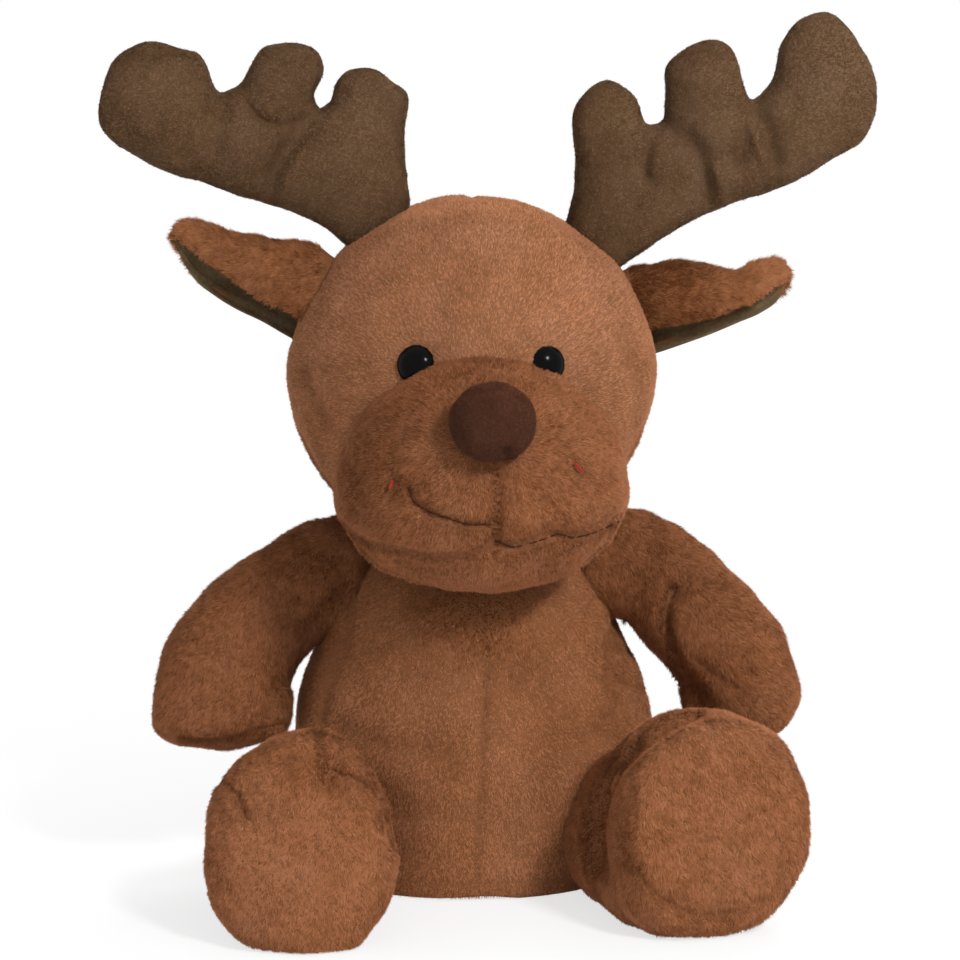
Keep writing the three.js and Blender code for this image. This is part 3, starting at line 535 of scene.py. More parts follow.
HEAD_CLOTH = plush("head", (150, 100, 69), 14, 0.18)
MUZZLE_CLOTH = plush("muzzle", (128, 80, 51), 8, 0.22)
TORSO_CLOTH = plush("torso", (145, 93, 60), 15, 0.18)
ARM_CLOTH = plush("arm", (126, 79, 50), 12, 0.2)
LEG_CLOTH = plush("leg", (140, 89, 58), 13, 0.19)
EAR_CLOTH = plush("ear", (132, 84, 53), 8, 0.18)
ANTLER_CLOTH = plush("antler", (94, 69, 47), 12, 0.26, root_shade=0.45, tuft_tone=0.38)
NOSE_CLOTH = plush("nose", (70, 41, 28), 7, 0.2, sheen=0.6)
LINING_CLOTH = cloth("ear_lining", shades(88, 72, 51, spread=0.3), 6, False)


def eye_material():
    nodes = Nodes("eye_black")
    smudge = nodes.noise(4, 3)
    black = nodes.ramp(smudge, [(0.3, (0.0015, 0.0015, 0.002)), (0.7, (0.003, 0.0025, 0.0025))])
    nodes.link(black, nodes.shader.inputs["Base Color"])
    rough = nodes.math("MULTIPLY_ADD", smudge, 0.06, 0.12)
    nodes.link(rough, nodes.shader.inputs["Roughness"])
    nodes.set(Specular_IOR_Level=0.055)
    return nodes.made


def thread_material(name, dark, light):
    """Twisted sewing thread."""
    nodes = Nodes(name)
    wave = nodes.add("ShaderNodeTexWave", bands_direction="DIAGONAL")
    wave.inputs["Scale"].default_value = 1 / (0.45 * MM)
    nodes.link(nodes.place(), wave.inputs["Vector"])
    twist = nodes.ramp(wave.outputs["Fac"], [(0.2, dark), (0.8, light)])
    nodes.link(twist, nodes.shader.inputs["Base Color"])
    nodes.bump(wave.outputs["Fac"], 0.5, 0.1)
    nodes.set(Roughness=0.95, Specular_IOR_Level=0.1)
    return nodes.made


eye_black = eye_material()
brown_thread = thread_material("brown_thread", colour(38, 20, 12), colour(70, 42, 26))
red_thread = thread_material("red_thread", colour(120, 28, 24), colour(166, 54, 44))

# How the pile lies: count, length, width, lean, stray, clump
HEAD_PILE = (195000, 1.5, 0.34, 15, 0.55, 1.5)
MUZZLE_PILE = (120000, 2.0, 0.32, 15, 0.6, 2.2)
TORSO_PILE = (195000, 1.6, 0.34, 15, 0.6, 1.8)
ARM_PILE = (110000, 2.2, 0.33, 15, 0.6, 2.6)
LEG_PILE = (160000, 2.1, 0.33, 15, 0.6, 2.6)
EAR_PILE = (46000, 2.6, 0.32, 14, 0.45, 3.0)
ANTLER_PILE = (100000, 1.2, 0.3, 13, 0.9, 1.4)
NOSE_PILE = (30000, 1.0, 0.24, 14, 1.0, 1.6)


def dress(name, body, nodes, surface, material):
    """A finished surface that rides on a body and stands for CAD nodes."""
    made = mesh_object(name, *surface, material)
    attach(made, body)
    if nodes:
        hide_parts(*nodes)
    return made


def flow(direction, spread=0.0, centre=None):
    """A combing direction: straight, and away from a centre by that share."""
    direction = np.asarray(direction, float)

    def comb(root, out):
        way = np.tile(direction, (len(root), 1))
        if centre is not None:
            way = way + unit(root - np.asarray(centre, float)) * spread
        return way

    return comb


def painted_shading(*patches):
    """Soft patches of painted light and shade, where the pile is painted lighter or darker: (place,
    reach, amount) each.
    """

    def lighter(root):
        tone = 0
        for place, reach, amount in patches:
            tone = tone + amount * np.exp(-((root - place) ** 2).sum(1) / reach**2)
        return tone

    return lighter


# The torso
TORSO_HEIGHT = 113
TORSO_HALF_WIDTH = 55.5
TORSO_DEPTH_SHARE = 0.84
TORSO_PROFILE = [
    [0.0, 0.92], [0.03, 0.955], [0.12, 0.98], [0.28, 1.015], [0.43, 1.01], [0.56, 0.955],
    [0.68, 0.85], [0.79, 0.74], [0.88, 0.6], [0.94, 0.44], [0.98, 0.26],
]
NECK_ROUND = (0.55, 0.82)  # between these heights the section turns from oval to round
TORSO_TOP = 0.98  # the height of the last ring
TORSO_LOW = 0.4  # how high its lowest ring starts
TORSO_BARE = (0.8, 104)  # below and above these no pile is seen
TORSO_RINGS = 120
TORSO_SIDES = 260


def torso_surface():
    share = np.linspace(0, TORSO_TOP, TORSO_RINGS)
    wide = eased(TORSO_PROFILE, share)[:, 0] * TORSO_HALF_WIDTH
    t = np.clip((share - NECK_ROUND[0]) / (NECK_ROUND[1] - NECK_ROUND[0]), 0, 1)
    t = t * t * (3 - 2 * t)
    deep = wide * (TORSO_DEPTH_SHARE + (1 - TORSO_DEPTH_SHARE) * t)
    turn = np.linspace(0, 2 * math.pi, TORSO_SIDES, endpoint=False)
    height = TORSO_LOW + share * (TORSO_HEIGHT - PILE_SINK)
    x = (wide - PILE_SINK)[:, None] * np.cos(turn)
    y = (deep - PILE_SINK)[:, None] * np.sin(turn)
    rings = np.stack([x, y, np.repeat(height[:, None], TORSO_SIDES, 1)], -1)
    ends = [0, 0, TORSO_LOW], [0, 0, TORSO_HEIGHT - PILE_SINK]
    points = np.concatenate([ends[:1], rings.reshape(-1, 3), ends[1:]])
    return points, outward(points, ring_faces(TORSO_RINGS, TORSO_SIDES))


TORSO_PRESSES = [
    (across_view([(4.7, -48), (4, -67), (3.4, -89), (2.2, -114), (0.9, -137)]), 0.7, 1.3),
    (in_plane((0, 8, 0), (0, 1, 0.02)), 0.9, 1.5),
    (in_plane((0, 0, 0), (1, 0, 0), behind), 0.7, 1.3),
    (in_plane((0, 0, 4.5), (0, 0.03, 1)), 0.6, 1.8),
    *drawn([
        ([(-40, -92), (-26, -97), (-10, -99)], 0.8, 4.0),
        ([(30, -99), (42, -92), (50, -82)], 0.9, 4.0),
        ([(-30, -72), (-8, -77), (14, -76)], 0.5, 4.5),
        ([(-20, -118), (4, -123), (26, -121)], 0.6, 4.5),
        ([(-36, -39), (-38.4, -59), (-43.8, -75), (-47.2, -88)], 1.5, 1.9),
        ([(47, -50), (44, -60), (42.7, -71), (45, -85)], 1.5, 2.0),
        ([(45, -66), (51, -69)], 0.9, 1.6),
        ([(46, -77), (53, -80)], 0.9, 1.6),
    ]),
]
# Painted light low on the front and on the left side, and a painted shadow of the head under the chin
TORSO_PAINTED_SHADING = [((0, -44, 14), 28, 0.8), ((-42, -28, 52), 22, 1.3), ((0, -38, 94), 19, -2.1)]


def build_torso():
    points, faces = torso_surface()
    points = lumpy(points, faces, 34, 0.7, 11)
    points = pressed(points, faces, TORSO_PRESSES)
    points[:, 2] = np.maximum(points[:, 2], FLOOR_CLEAR)
    nodes = [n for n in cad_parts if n.startswith("torso_")] + ["seat_bean_bag"]
    tufts, ground = TORSO_CLOTH
    skin = dress("torso_plush", "torso", nodes, (points, faces), ground)

    def hidden(spots, which):
        return (spots[:, 2] > TORSO_BARE[1]) | (spots[:, 2] < TORSO_BARE[0])

    comb, painted_light_and_shade = flow((0, 0.3, -1)), painted_shading(*TORSO_PAINTED_SHADING)
    pile(skin, "torso_pile", (points, faces), tufts, 12, TORSO_PILE, comb, TORSO_PRESSES, hidden, painted_light_and_shade)


# The head
HEAD_HALF = np.array([57.0, 52.0, 56.0])
HEAD_CENTRE = np.array([0.0, 0.0, 155.7])
HEAD_SEAM_Y = 5
JAW_NARROWING = 0.05  # on the right side, where the photographed head is narrower at the jaw
NECK_TOP, NECK_RADIUS = 106, 16  # inside these the head rests on the body and has no pile
MUZZLE_CENTRE = np.array([0.0, -44.0, 132.7])
MUZZLE_HALF = np.array([44.5, 42.0, 38.0])
MUZZLE_FALL = 35  # half its height below the middle
MUZZLE_JOWL = 0.13  # how much it widens downward
NOSE_TOP = (0, -80, 150)  # where the pile of the face parts
EYE_X = 20.2
EYE_LIFT = 11.5
EYE_RADIUS = 6.1
EYE_DOME = 4.6
EYE_SINK = {"left": 2.9, "right": 3.4}


def eye_place(side):
    """Where an eye sits on the head, and the way it looks."""
    x = SIDE_X[side] * EYE_X
    y = -HEAD_HALF[1] * math.sqrt(1 - (x / HEAD_HALF[0]) ** 2 - (EYE_LIFT / HEAD_HALF[2]) ** 2)
    spot = np.array([x, y, EYE_LIFT])
    return spot + HEAD_CENTRE, unit(spot / HEAD_HALF**2)


def inside_muzzle(spots, grow=-1.5):
    q = (spots - MUZZLE_CENTRE) / (MUZZLE_HALF + grow)
    q[:, 2] = np.where(q[:, 2] < 0, q[:, 2] * (MUZZLE_HALF[2] + grow) / (MUZZLE_FALL + grow), q[:, 2])
    q[:, 0] /= 1 - MUZZLE_JOWL * np.clip(q[:, 2], -1, 1)
    return (q**2).sum(1) < 1


HEAD_PRESSES = [
    (in_plane((0, HEAD_SEAM_Y, 0), (0, 1, 0)), 0.5, 1.2),
    (about(eye_place("left")[0]), 1.3, 6.0),
    (about(eye_place("right")[0]), 1.3, 5.8),
    *drawn([
        ([(-52, 20), (-48, 10), (-44, 2)], 1.3, 2.4),
        ([(-54, -2), (-50, -10), (-45, -17)], 1.2, 2.4),
        ([(46, 30), (50, 16), (51, 4), (49, -8)], 1.1, 3.0),
    ]),
    (in_plane((0, 0, 0), (1, 0, 0), behind), 0.7, 1.3),
]


def build_head():
    points, faces = ball(7)
    points[:, 0] *= 1 - JAW_NARROWING * np.clip(-points[:, 2], 0, 1) * (points[:, 0] > 0)
    points = points * (HEAD_HALF - PILE_SINK) + HEAD_CENTRE
    points = lumpy(points, faces, 30, 0.6, 21)
    points = pressed(points, faces, HEAD_PRESSES)
    nodes = ["head_front", "head_back", "head_filling"]
    tufts, ground = HEAD_CLOTH
    skin = dress("head_plush", "head", nodes, (points, faces), ground)

    def hidden(spots, which):
        neck = (spots[:, 2] < NECK_TOP) & (np.hypot(spots[:, 0], spots[:, 1]) < NECK_RADIUS)
        return inside_muzzle(spots) | neck

    comb = flow((0, 0.5, 0), 1.0, NOSE_TOP)
    # painted shade on the left side of the head
    painted_light_and_shade = painted_shading(((-50, -20, 148), 20, -0.6))
    pile(skin, "head_pile", (points, faces), tufts, 22, HEAD_PILE, comb, HEAD_PRESSES, hidden, painted_light_and_shade)


# The mouth, drawn as the photograph shows it: a stitched line, a lip and the seam over the chin
MOUTH_LEFT = [(-20.5, -17), (-18.9, -20.8), (-14.3, -24.5), (-7.4, -27), (-3.1, -28.4), (6, -28.6)]
MOUTH_RIGHT = [
    (6.8, -33.8), (12.9, -35.7), (17, -34.7), (21.4, -33.5), (26.4, -31.8), (31.5, -32.6),
    (35.7, -31.8), (41.5, -29.6), (46, -27.6),
]
CHIN_LEFT = [
    (-41, -28), (-33.8, -33.8), (-24.5, -36), (-15.8, -37.8), (-8, -38.2), (0, -36.8), (6.8, -33.8),
]
CHIN_SHADE = [(-36, -37), (-20, -41), (0, -42), (15, -40.5), (30, -37.5), (43, -33)]
LIP = [(6.8, -10), (7.2, -16), (7.4, -20), (7.2, -28), (6.9, -34)]
TACKS = {"left": ((-24.6, -14.6), (-25.6, -17.6)), "right": ((31.2, -9.4), (33.6, -12.2))}

MUZZLE_PRESSES = drawn([
    (LIP, 1.7, 1.1),
    (LIP, 1.4, 6.0),
    (MOUTH_LEFT, 1.2, 1.2),
    (MOUTH_LEFT, 1.2, 5.0),
    (MOUTH_RIGHT, 2.0, 1.7),
    (MOUTH_RIGHT, 1.2, 5.0),
    (CHIN_LEFT, 1.3, 1.4),
    (CHIN_SHADE, 1.3, 5.5),
    ([(4.5, -2), (5.5, -10)], 1.6, 8.0),
    (TACKS["left"], 1.4, 2.4),
    (TACKS["right"], 1.0, 2.4),
    ([(20.5, -21.2), (23, -20.4)], 1.1, 1.8),
    ([(-40, -6), (-36, -14), (-36, -24)], 0.7, 3.0),
])
# Painted light on the right cheek and the chin, and painted shade on the left side and the top
MUZZLE_PAINTED_SHADING = [
    ((42, -52, 124), 16, 1.6), ((0, -70, 108), 20, 0.9),
    ((-36, -64, 142), 18, -0.8), ((0, -64, 168), 18, -0.7),
]


def build_muzzle():
    points, faces = ball(6)
    jowl = 1 - MUZZLE_JOWL * points[:, 2]
    rise = np.where(points[:, 2] > 0, MUZZLE_HALF[2], MUZZLE_FALL) - PILE_SINK
    half = MUZZLE_HALF - PILE_SINK
    points = np.stack([points[:, 0] * jowl * half[0], points[:, 1] * half[1], points[:, 2] * rise], -1)
    points = points + MUZZLE_CENTRE
    points = lumpy(points, faces, 22, 0.6, 31)
    points = pressed(points, faces, MUZZLE_PRESSES)
    nodes = ["muzzle_left", "muzzle_right", "muzzle_chin", "muzzle_filling"]
    tufts, ground = MUZZLE_CLOTH
    skin = dress("muzzle_plush", "head", nodes, (points, faces), ground)

    def hidden(spots, which):
        return (((spots - HEAD_CENTRE) / (HEAD_HALF - 2.5)) ** 2).sum(1) < 1

    comb, painted_light_and_shade = flow((0, 0.3, -0.3), 1.0, NOSE_TOP), painted_shading(*MUZZLE_PAINTED_SHADING)
    pile(
        skin, "muzzle_pile", (points, faces), tufts, 32, MUZZLE_PILE, comb, MUZZLE_PRESSES, hidden, painted_light_and_shade
    )
    return points, faces


def on_surface(line, points, faces, sink):
    """Points over a surface where a line drawn in the view meets it, sunk a little."""
    normals = vertex_normals(points, faces)
    front = np.flatnonzero(normals @ view_back > 0.1)
    flat = seen(points[front])
    found = []
    for spot in resampled(line, 1.0):
        near = np.argsort(((flat - spot) ** 2).sum(1))[:12]
        near = front[near]
        away = view_from - points[near]
        nearest = near[np.argsort((away**2).sum(1))[:4]]
        place = points[nearest].mean(0)
        way = view_from - place
        depth = way @ view_back
        wanted = VIEW_CENTRE + view_right * spot[0] + view_up * spot[1]
        ray = wanted - view_from
        place = view_from + ray * (depth / (-(ray @ view_back)))
        found.append(place - normals[nearest].mean(0) * sink)
    return np.array(found)


def stitched(name, path, material, radius, stitch=4.0, gap=0.8):
    """Thread along a path on the muzzle, in stitches that dip into the cloth between them."""
    table, length = line_table(path)
    places = np.arange(0, length, 0.35)
    centre = eased(table, places)
    along = unit(np.gradient(centre, axis=0))
    outside = unit(view_back - along * (along @ view_back)[:, None])
    side = np.cross(along, outside)
    phase = np.mod(places, stitch + gap) / (stitch + gap)
    centre = centre + outside * (0.5 * np.sin(math.pi * phase) - 0.3)[:, None]
    sides = 8
    turn = np.linspace(0, 2 * math.pi, sides, endpoint=False)
    rings = centre[:, None] + radius * (
        side[:, None] * np.cos(turn)[:, None] + outside[:, None] * np.sin(turn)[:, None]
    )
    points = np.concatenate([centre[:1], rings.reshape(-1, 3), centre[-1:]])
    faces = outward(points, ring_faces(len(places), sides))
    dress(name, "head", [], (points, faces), material)


def build_eyes():
    for side in SIDE_X:
        middle, look = eye_place(side)
        points, faces = ball(5)
        points = points * np.array([EYE_RADIUS, EYE_RADIUS, EYE_DOME])
        points[:, 2] = np.where(points[:, 2] < 0, points[:, 2] * 0.5, points[:, 2])
        thick = unit(UP - look * look[2])
        frame_axes = np.stack([np.cross(thick, look), thick, look])
        points = points @ frame_axes + middle - look * EYE_SINK[side]
        dress(f"eye_{side}_dome", "head", [f"eye_{side}"], (points, faces), eye_black)


NOSE_HALF = np.array([13.0, 11.8, 12.1])


def build_nose():
    low, high = (np.array(corner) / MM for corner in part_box("nose"))
    centre = np.array([1.0, low[1] + NOSE_HALF[1], (low[2] + high[2]) / 2 + 1.2])
    points, faces = ball(6)
    points = points * (NOSE_HALF - 0.5) + centre
    points = lumpy(points, faces, 10, 0.25, 41)
    pucker = drawn([([(10.5, -5.9), (11.5, -7.4)], 1.6, 1.8)])
    points = pressed(points, faces, pucker)
    tufts, ground = NOSE_CLOTH
    skin = dress("nose_felt_ball", "head", ["nose"], (points, faces), ground)
    comb = flow((0.2, 0, -0.4), 1.0, centre + np.array([0, -12, 4]))
    pile(skin, "nose_fibres", (points, faces), tufts, 42, NOSE_PILE, comb, pucker)


# The ears: along x, then the top, the front flap's rim and the bottom edge
EARS = {
    "left": {
        "rows": [
            [-38, 191, 170.5, 161], [-48, 196.8, 173.2, 163], [-57, 199, 177.4, 167.6],
            [-65, 200, 181.4, 172.4], [-73, 201.5, 187.4, 176.4], [-80, 204.2, 192.6, 181],
            [-86, 205.5, 197.2, 186.4], [-89.6, 204.4, 199, 192.6], [-91.8, 201.5, 200, 198],
        ],
        "depths": [[0, 9.0], [0.3, 9.5], [0.6, 8.0], [0.85, 5.0], [1, 1.6]],
        # how much painted shade lies towards the ear's root
        "shade": 0.6,
    },
    "right": {
        "rows": [
            [40, 184, 166.5, 157.5], [49, 189.5, 169.5, 159], [58, 190.8, 171.9, 161.5],
            [66, 191.2, 173, 164.2], [74, 190.1, 174.6, 167.1], [83, 188.9, 177.6, 170.9],
            [90, 191.2, 181, 174], [95, 191.6, 184.4, 177.9], [97.6, 188.6, 185.6, 182],
        ],
        "depths": [[0, 9.0], [0.3, 9.5], [0.6, 8.0], [0.85, 5.5], [1, 1.8]],
        # how much painted shade lies towards the ear's root
        "shade": 2.2,
    },
}
EAR_Y = 3.0
EAR_THICK = 1.2
EAR_STEPS = 60
EAR_TURNS = 40
EAR_LOW_TURN = -172
EAR_HEM = [[-176, 0.3], [-164, 0.6], [-152, 2.1], [-140, 2.1], [180, 2.1]]  # the lining's inset


def ear_section(top, rim, bottom, depth, inset, first_turn, last_turn):
    """Points from the front flap's rim over the top and down the back to the bottom edge."""
    middle, half = (top + bottom) / 2, (top - bottom) / 2
    rim_turn = math.degrees(math.acos(np.clip((rim - middle) / half, -0.98, 0.98)))
    turn = np.linspace(rim_turn + first_turn, EAR_LOW_TURN + last_turn, EAR_TURNS)
    inset = inset(turn)
    turn = np.radians(turn)
    tall, deep = np.maximum(half - inset, 0.3), np.maximum(depth - inset, 0.3)
    return np.stack([EAR_Y - deep * np.sin(turn), middle + tall * np.cos(turn)], -1)


def ear_shell(side, inset, thickness, first_turn=0, last_turn=0, reach=1.0):
    """A curled leaf as a closed surface."""
    rows = np.array(EARS[side]["rows"])
    share = np.sin(np.linspace(0, reach, EAR_STEPS) * math.pi / 2)
    places = rows[0, 0] + (rows[-1, 0] - rows[0, 0]) * share
    edges = eased(rows[rows[:, 0].argsort()], places)
    depths = eased(EARS[side]["depths"], share)[:, 0]
    rings = []
    for x, edge, depth in zip(places, edges, depths):
        outer = ear_section(*edge, depth, inset, first_turn, last_turn)
        inner = ear_section(*edge, depth, lambda at: inset(at) + thickness, first_turn, last_turn)
        ring = np.concatenate([outer, inner[::-1]])
        rings.append(np.column_stack([np.full(len(ring), x), ring]))
    rings = np.array(rings)
    points = np.concatenate([rings[0].mean(0)[None], rings.reshape(-1, 3), rings[-1].mean(0)[None]])
    return points, outward(points, ring_faces(len(rings), rings.shape[1]))


def build_ear(side):
    tufts, ground = EAR_CLOTH
    body = f"ear_{side}"
    points, faces = ear_shell(side, lambda at: np.full(len(at), PILE_SINK), EAR_THICK, 0, 16)
    round_ring = (faces - 1) % (2 * EAR_TURNS)
    within = (round_ring > EAR_TURNS - 4).all(1)
    points = lumpy(points, faces, 14, 0.5, 51)
    skin = dress(f"{body}_plush", body, [f"{body}_outer"], (points, faces), ground)
    sign = SIDE_X[side]
    root_x = EARS[side]["rows"][0][0]

    def hidden(spots, which):
        return (sign * (spots[:, 0] - root_x) < 8) | within[which]

    # Painted light at the tip and painted shade from the root outward, heavier on the right ear
    def painted_light_and_shade(root):
        out = sign * (root[:, 0] - root_x)
        tip, base = np.clip((out - 38) / 14, 0, 1), np.clip((50 - out) / 40, 0, 1)
        return 0.8 * tip - EARS[side]["shade"] * base

    comb = flow((sign, 0.25, -0.3))
    pile(skin, f"{body}_pile", (points, faces), tufts, 52, EAR_PILE, comb, (), hidden, painted_light_and_shade)
    lining = ear_shell(side, lambda at: eased(EAR_HEM, at)[:, 0], 0.7, -5, 0, 0.96)
    dress(f"{body}_inner", body, [f"{body}_lining"], lining, LINING_CLOTH)


# The antlers, by the outline of their two sewn faces
ANTLERS = {
    "left": {
        "outline": [
            (-34, 191), (-43.2, 200.4), (-75.4, 213.6), (-99.7, 222.7), (-113, 232.6),
            (-106, 257.4), (-100.2, 259.8), (-88.6, 257.3), (-84.4, 256.3), (-76.6, 243.8),
            (-72.9, 245.3), (-63.3, 258.1), (-46.6, 254.9), (-45.7, 251.3), (-49.1, 241.8),
            (-47.3, 238.7), (-44.2, 240.2), (-41.7, 247.3), (-38.9, 250.3), (-29.5, 250.6),
            (-24.9, 247.2), (-20.9, 243.8), (-21.2, 233), (-20.7, 215.7), (-19.8, 208.3),
            (-22, 203),
        ],
        "shift": (0.5, -0.5),
        "creases": [
            ([(-48, 238.5), (-55, 230.5), (-60.5, 221.5), (-62.5, 207)], 2.3, 3.4),
            ([(-69.5, 241.5), (-66, 237.4), (-60.6, 235.1), (-50.5, 236.2)], 1.2, 1.6),
            ([(-76.6, 244), (-78.2, 234.6), (-79.5, 227)], 1.4, 4.0),
            ([(-84, 254.5), (-92, 256), (-102, 255)], 1.0, 2.0),
            ([(-52, 229), (-57.5, 220.5), (-59.5, 212)], -0.7, 1.6),
        ],
        # painted light on the antler's inner part
        "painted_shading": [((-30, 0, 232), 14, 0.6)],
    },
    "right": {
        "outline": [
            (26, 199), (30.6, 210.4), (31.5, 220.4), (32.6, 241.3), (41.5, 247.4), (49.9, 242.5),
            (54.3, 234.1), (58.3, 235), (59.2, 240), (59.7, 252), (76.3, 258.9), (78.8, 257.4),
            (86.7, 241.7), (91.3, 245.6), (95.1, 258.8), (98.5, 263.7), (107.4, 268),
            (120.6, 255.3), (124.1, 247.9), (120.7, 228.8), (113, 223.6), (91.7, 212.8),
            (79.3, 208.9), (46.5, 190.4), (40, 186),
        ],
        "shift": (0.3, -0.8),
        "creases": [
            ([(54, 234), (52.6, 227), (52, 219)], 1.4, 2.6),
            ([(58, 233), (66.3, 228.5), (69.5, 221.1), (72.4, 210.3)], 2.0, 3.2),
            ([(85.6, 241), (89.4, 232.1), (92, 222.8)], 1.9, 3.0),
            ([(86.5, 241), (82.5, 232), (80, 224)], 1.5, 3.0),
            ([(84, 236), (86.3, 229), (88.5, 223)], -1.1, 1.5),
            ([(57.6, 231), (55, 225.5), (54, 221)], -0.8, 1.4),
            ([(73, 221), (75.4, 214.5), (76.2, 210.5)], -0.8, 1.5),
        ],
        # painted light towards the antler's tips
        "painted_shading": [((108, 0, 252), 20, 1.2)],
    },
}
ANTLER_Y = 5.0
ANTLER_FLATNESS = 0.7
ANTLER_GRID = 0.9
ANTLER_ROUNDS = 1600  # until the membrane's bulge no longer changes
CREASE_CLOSED = 7  # the depth at which a crease would close the two faces


def inflated(outline, flatness, creases):
    """Two sewn faces of one outline, stuffed: thickest where the outline is widest.

    The bulge is that of a membrane held at the outline: each place of a grid settles a little
    above the mean of its neighbours. Then the outline and the grid inside it are triangulated.
    """
    closed = np.array(outline + outline[:1])
    edge = resampled(closed, ANTLER_GRID)[:-1]
    loop = np.concatenate([edge, edge[:1]])
    low, high = edge.min(0) - 3, edge.max(0) + 3
    xs = np.arange(low[0], high[0], ANTLER_GRID)
    zs = np.arange(low[1], high[1], ANTLER_GRID)
    grid = np.stack(np.meshgrid(xs, zs, indexing="ij"), -1).reshape(-1, 2)
    inside = np.zeros(len(grid), bool)
    for (ax, az), (bx, bz) in zip(loop[:-1], loop[1:]):
        crosses = (az > grid[:, 1]) != (bz > grid[:, 1])
        if bz != az:
            inside ^= crosses & (grid[:, 0] < (bx - ax) * (grid[:, 1] - az) / (bz - az) + ax)
    from_edge = distance_to_line(grid, loop)
    free = (inside | (from_edge < ANTLER_GRID)).reshape(len(xs), len(zs))
    level = np.zeros_like(free, float)
    for _ in range(ANTLER_ROUNDS):
        around = np.zeros_like(level)
        around[1:-1, 1:-1] = level[2:, 1:-1] + level[:-2, 1:-1] + level[1:-1, 2:] + level[1:-1, :-2]
        level = np.where(free, (around + ANTLER_GRID**2) / 4, 0)
    kept = inside & (from_edge > ANTLER_GRID * 0.6)
    flat = np.concatenate([edge, grid[kept]])
    ends = [(i, (i + 1) % len(edge)) for i in range(len(edge))]
    out = delaunay_2d_cdt([Vector(p) for p in flat], ends, [], 1, 1e-6)
    flat = np.array([v[:] for v in out[0]])
    faces = np.array([f for f in out[2] if len(f) == 3])
    near = distance_to_line(flat, loop)
    i = (flat - np.array([xs[0], zs[0]])) / ANTLER_GRID
    j = np.clip(i.astype(int), 0, np.array(free.shape) - 2)
    t = i - j
    value = sum(
        level[j[:, 0] + a, j[:, 1] + b] * abs(1 - a - t[:, 0]) * abs(1 - b - t[:, 1])
        for a in (0, 1)
        for b in (0, 1)
    )
    value = value * near / (near + 0.9)
    height = flatness * np.sqrt(2 * value)
    for line, depth, width in creases:
        pulled = np.exp(-((distance_to_line(flat, resampled(line, 1)) / width) ** 2))
        height = height * (1 - depth / CREASE_CLOSED * pulled)
    rim = near < 1e-3
    height = np.where(rim, 0, height)
    faces = faces[~rim[faces].all(1)]
    count = len(flat)
    front = np.column_stack([flat[:, 0], -height, flat[:, 1]])
    back = np.column_stack([flat[:, 0], height, flat[:, 1]])
    twin = np.where(rim, np.arange(count), np.arange(count) + count)
    points = np.concatenate([front, back])
    faces = np.concatenate([faces, twin[faces][:, ::-1]])
    used, index = np.unique(faces, return_inverse=True)
    points, faces = points[used], index.reshape(faces.shape)
    return points, outward(points, faces)


def build_antler(side):
    plan = ANTLERS[side]
    points, faces = inflated(plan["outline"], ANTLER_FLATNESS, plan["creases"])
    points = points + np.array([plan["shift"][0], ANTLER_Y, plan["shift"][1]])
    points = lumpy(points, faces, 16, 0.35, 61)
    tufts, ground = ANTLER_CLOTH
    body = f"antler_{side}"
    nodes = [f"{body}_{part}" for part in ("front", "back", "filling")]
    skin = dress(f"{body}_velour", body, nodes, (points, faces), ground)
    comb = flow((SIDE_X[side] * 0.9, 0, 0.1))
    # The creases are painted darker into the pile, a quarter as deep as they are pressed, as painted
    # shade, and ridges painted lighter as painted light
    presses = [(across_front(line), depth / 4, width) for line, depth, width in plan["creases"]]
    painted_light_and_shade = painted_shading(*plan["painted_shading"])
    pile(skin, f"{body}_pile", (points, faces), tufts, 62, ANTLER_PILE, comb, presses, None, painted_light_and_shade)


# The limbs. A bulge is a place, how far the surface swells there and its reach; a patch of painted
# light and shade is written as the painted patches above take it, and a fold as drawn takes it
LIMB_CLEAR = 0.7  # how far a limb's cloth stays above the floor
BARE_UNDER = 0.1  # the cloth that rests on the floor has no pile


def build_limb(body, surface, plan, lumps, parts, look, comb):
    """A stuffed limb: its surface with its plan's bulges and folds, and the pile on it."""
    bulges = [(about(place), -height, width) for place, height, width in plan["bulges"]]
    folds = drawn(plan["folds"])
    points, faces = surface
    points = pressed(lumpy(points, faces, *lumps), faces, bulges + folds)
    points[:, 2] = np.maximum(points[:, 2], LIMB_CLEAR)
    (tufts, ground), seed, spec = look
    nodes = [f"{body}_{part}" for part in parts]
    skin = dress(f"{body}_plush", body, nodes, (points, faces), ground)

    def hidden(spots, which):
        return spots[:, 2] < LIMB_CLEAR + BARE_UNDER

    # painted light and shade from the plan's patches
    painted_light_and_shade = painted_shading(*plan["painted_shading"])
    pile(skin, f"{body}_pile", (points, faces), tufts, seed, spec, comb, folds, hidden, painted_light_and_shade)


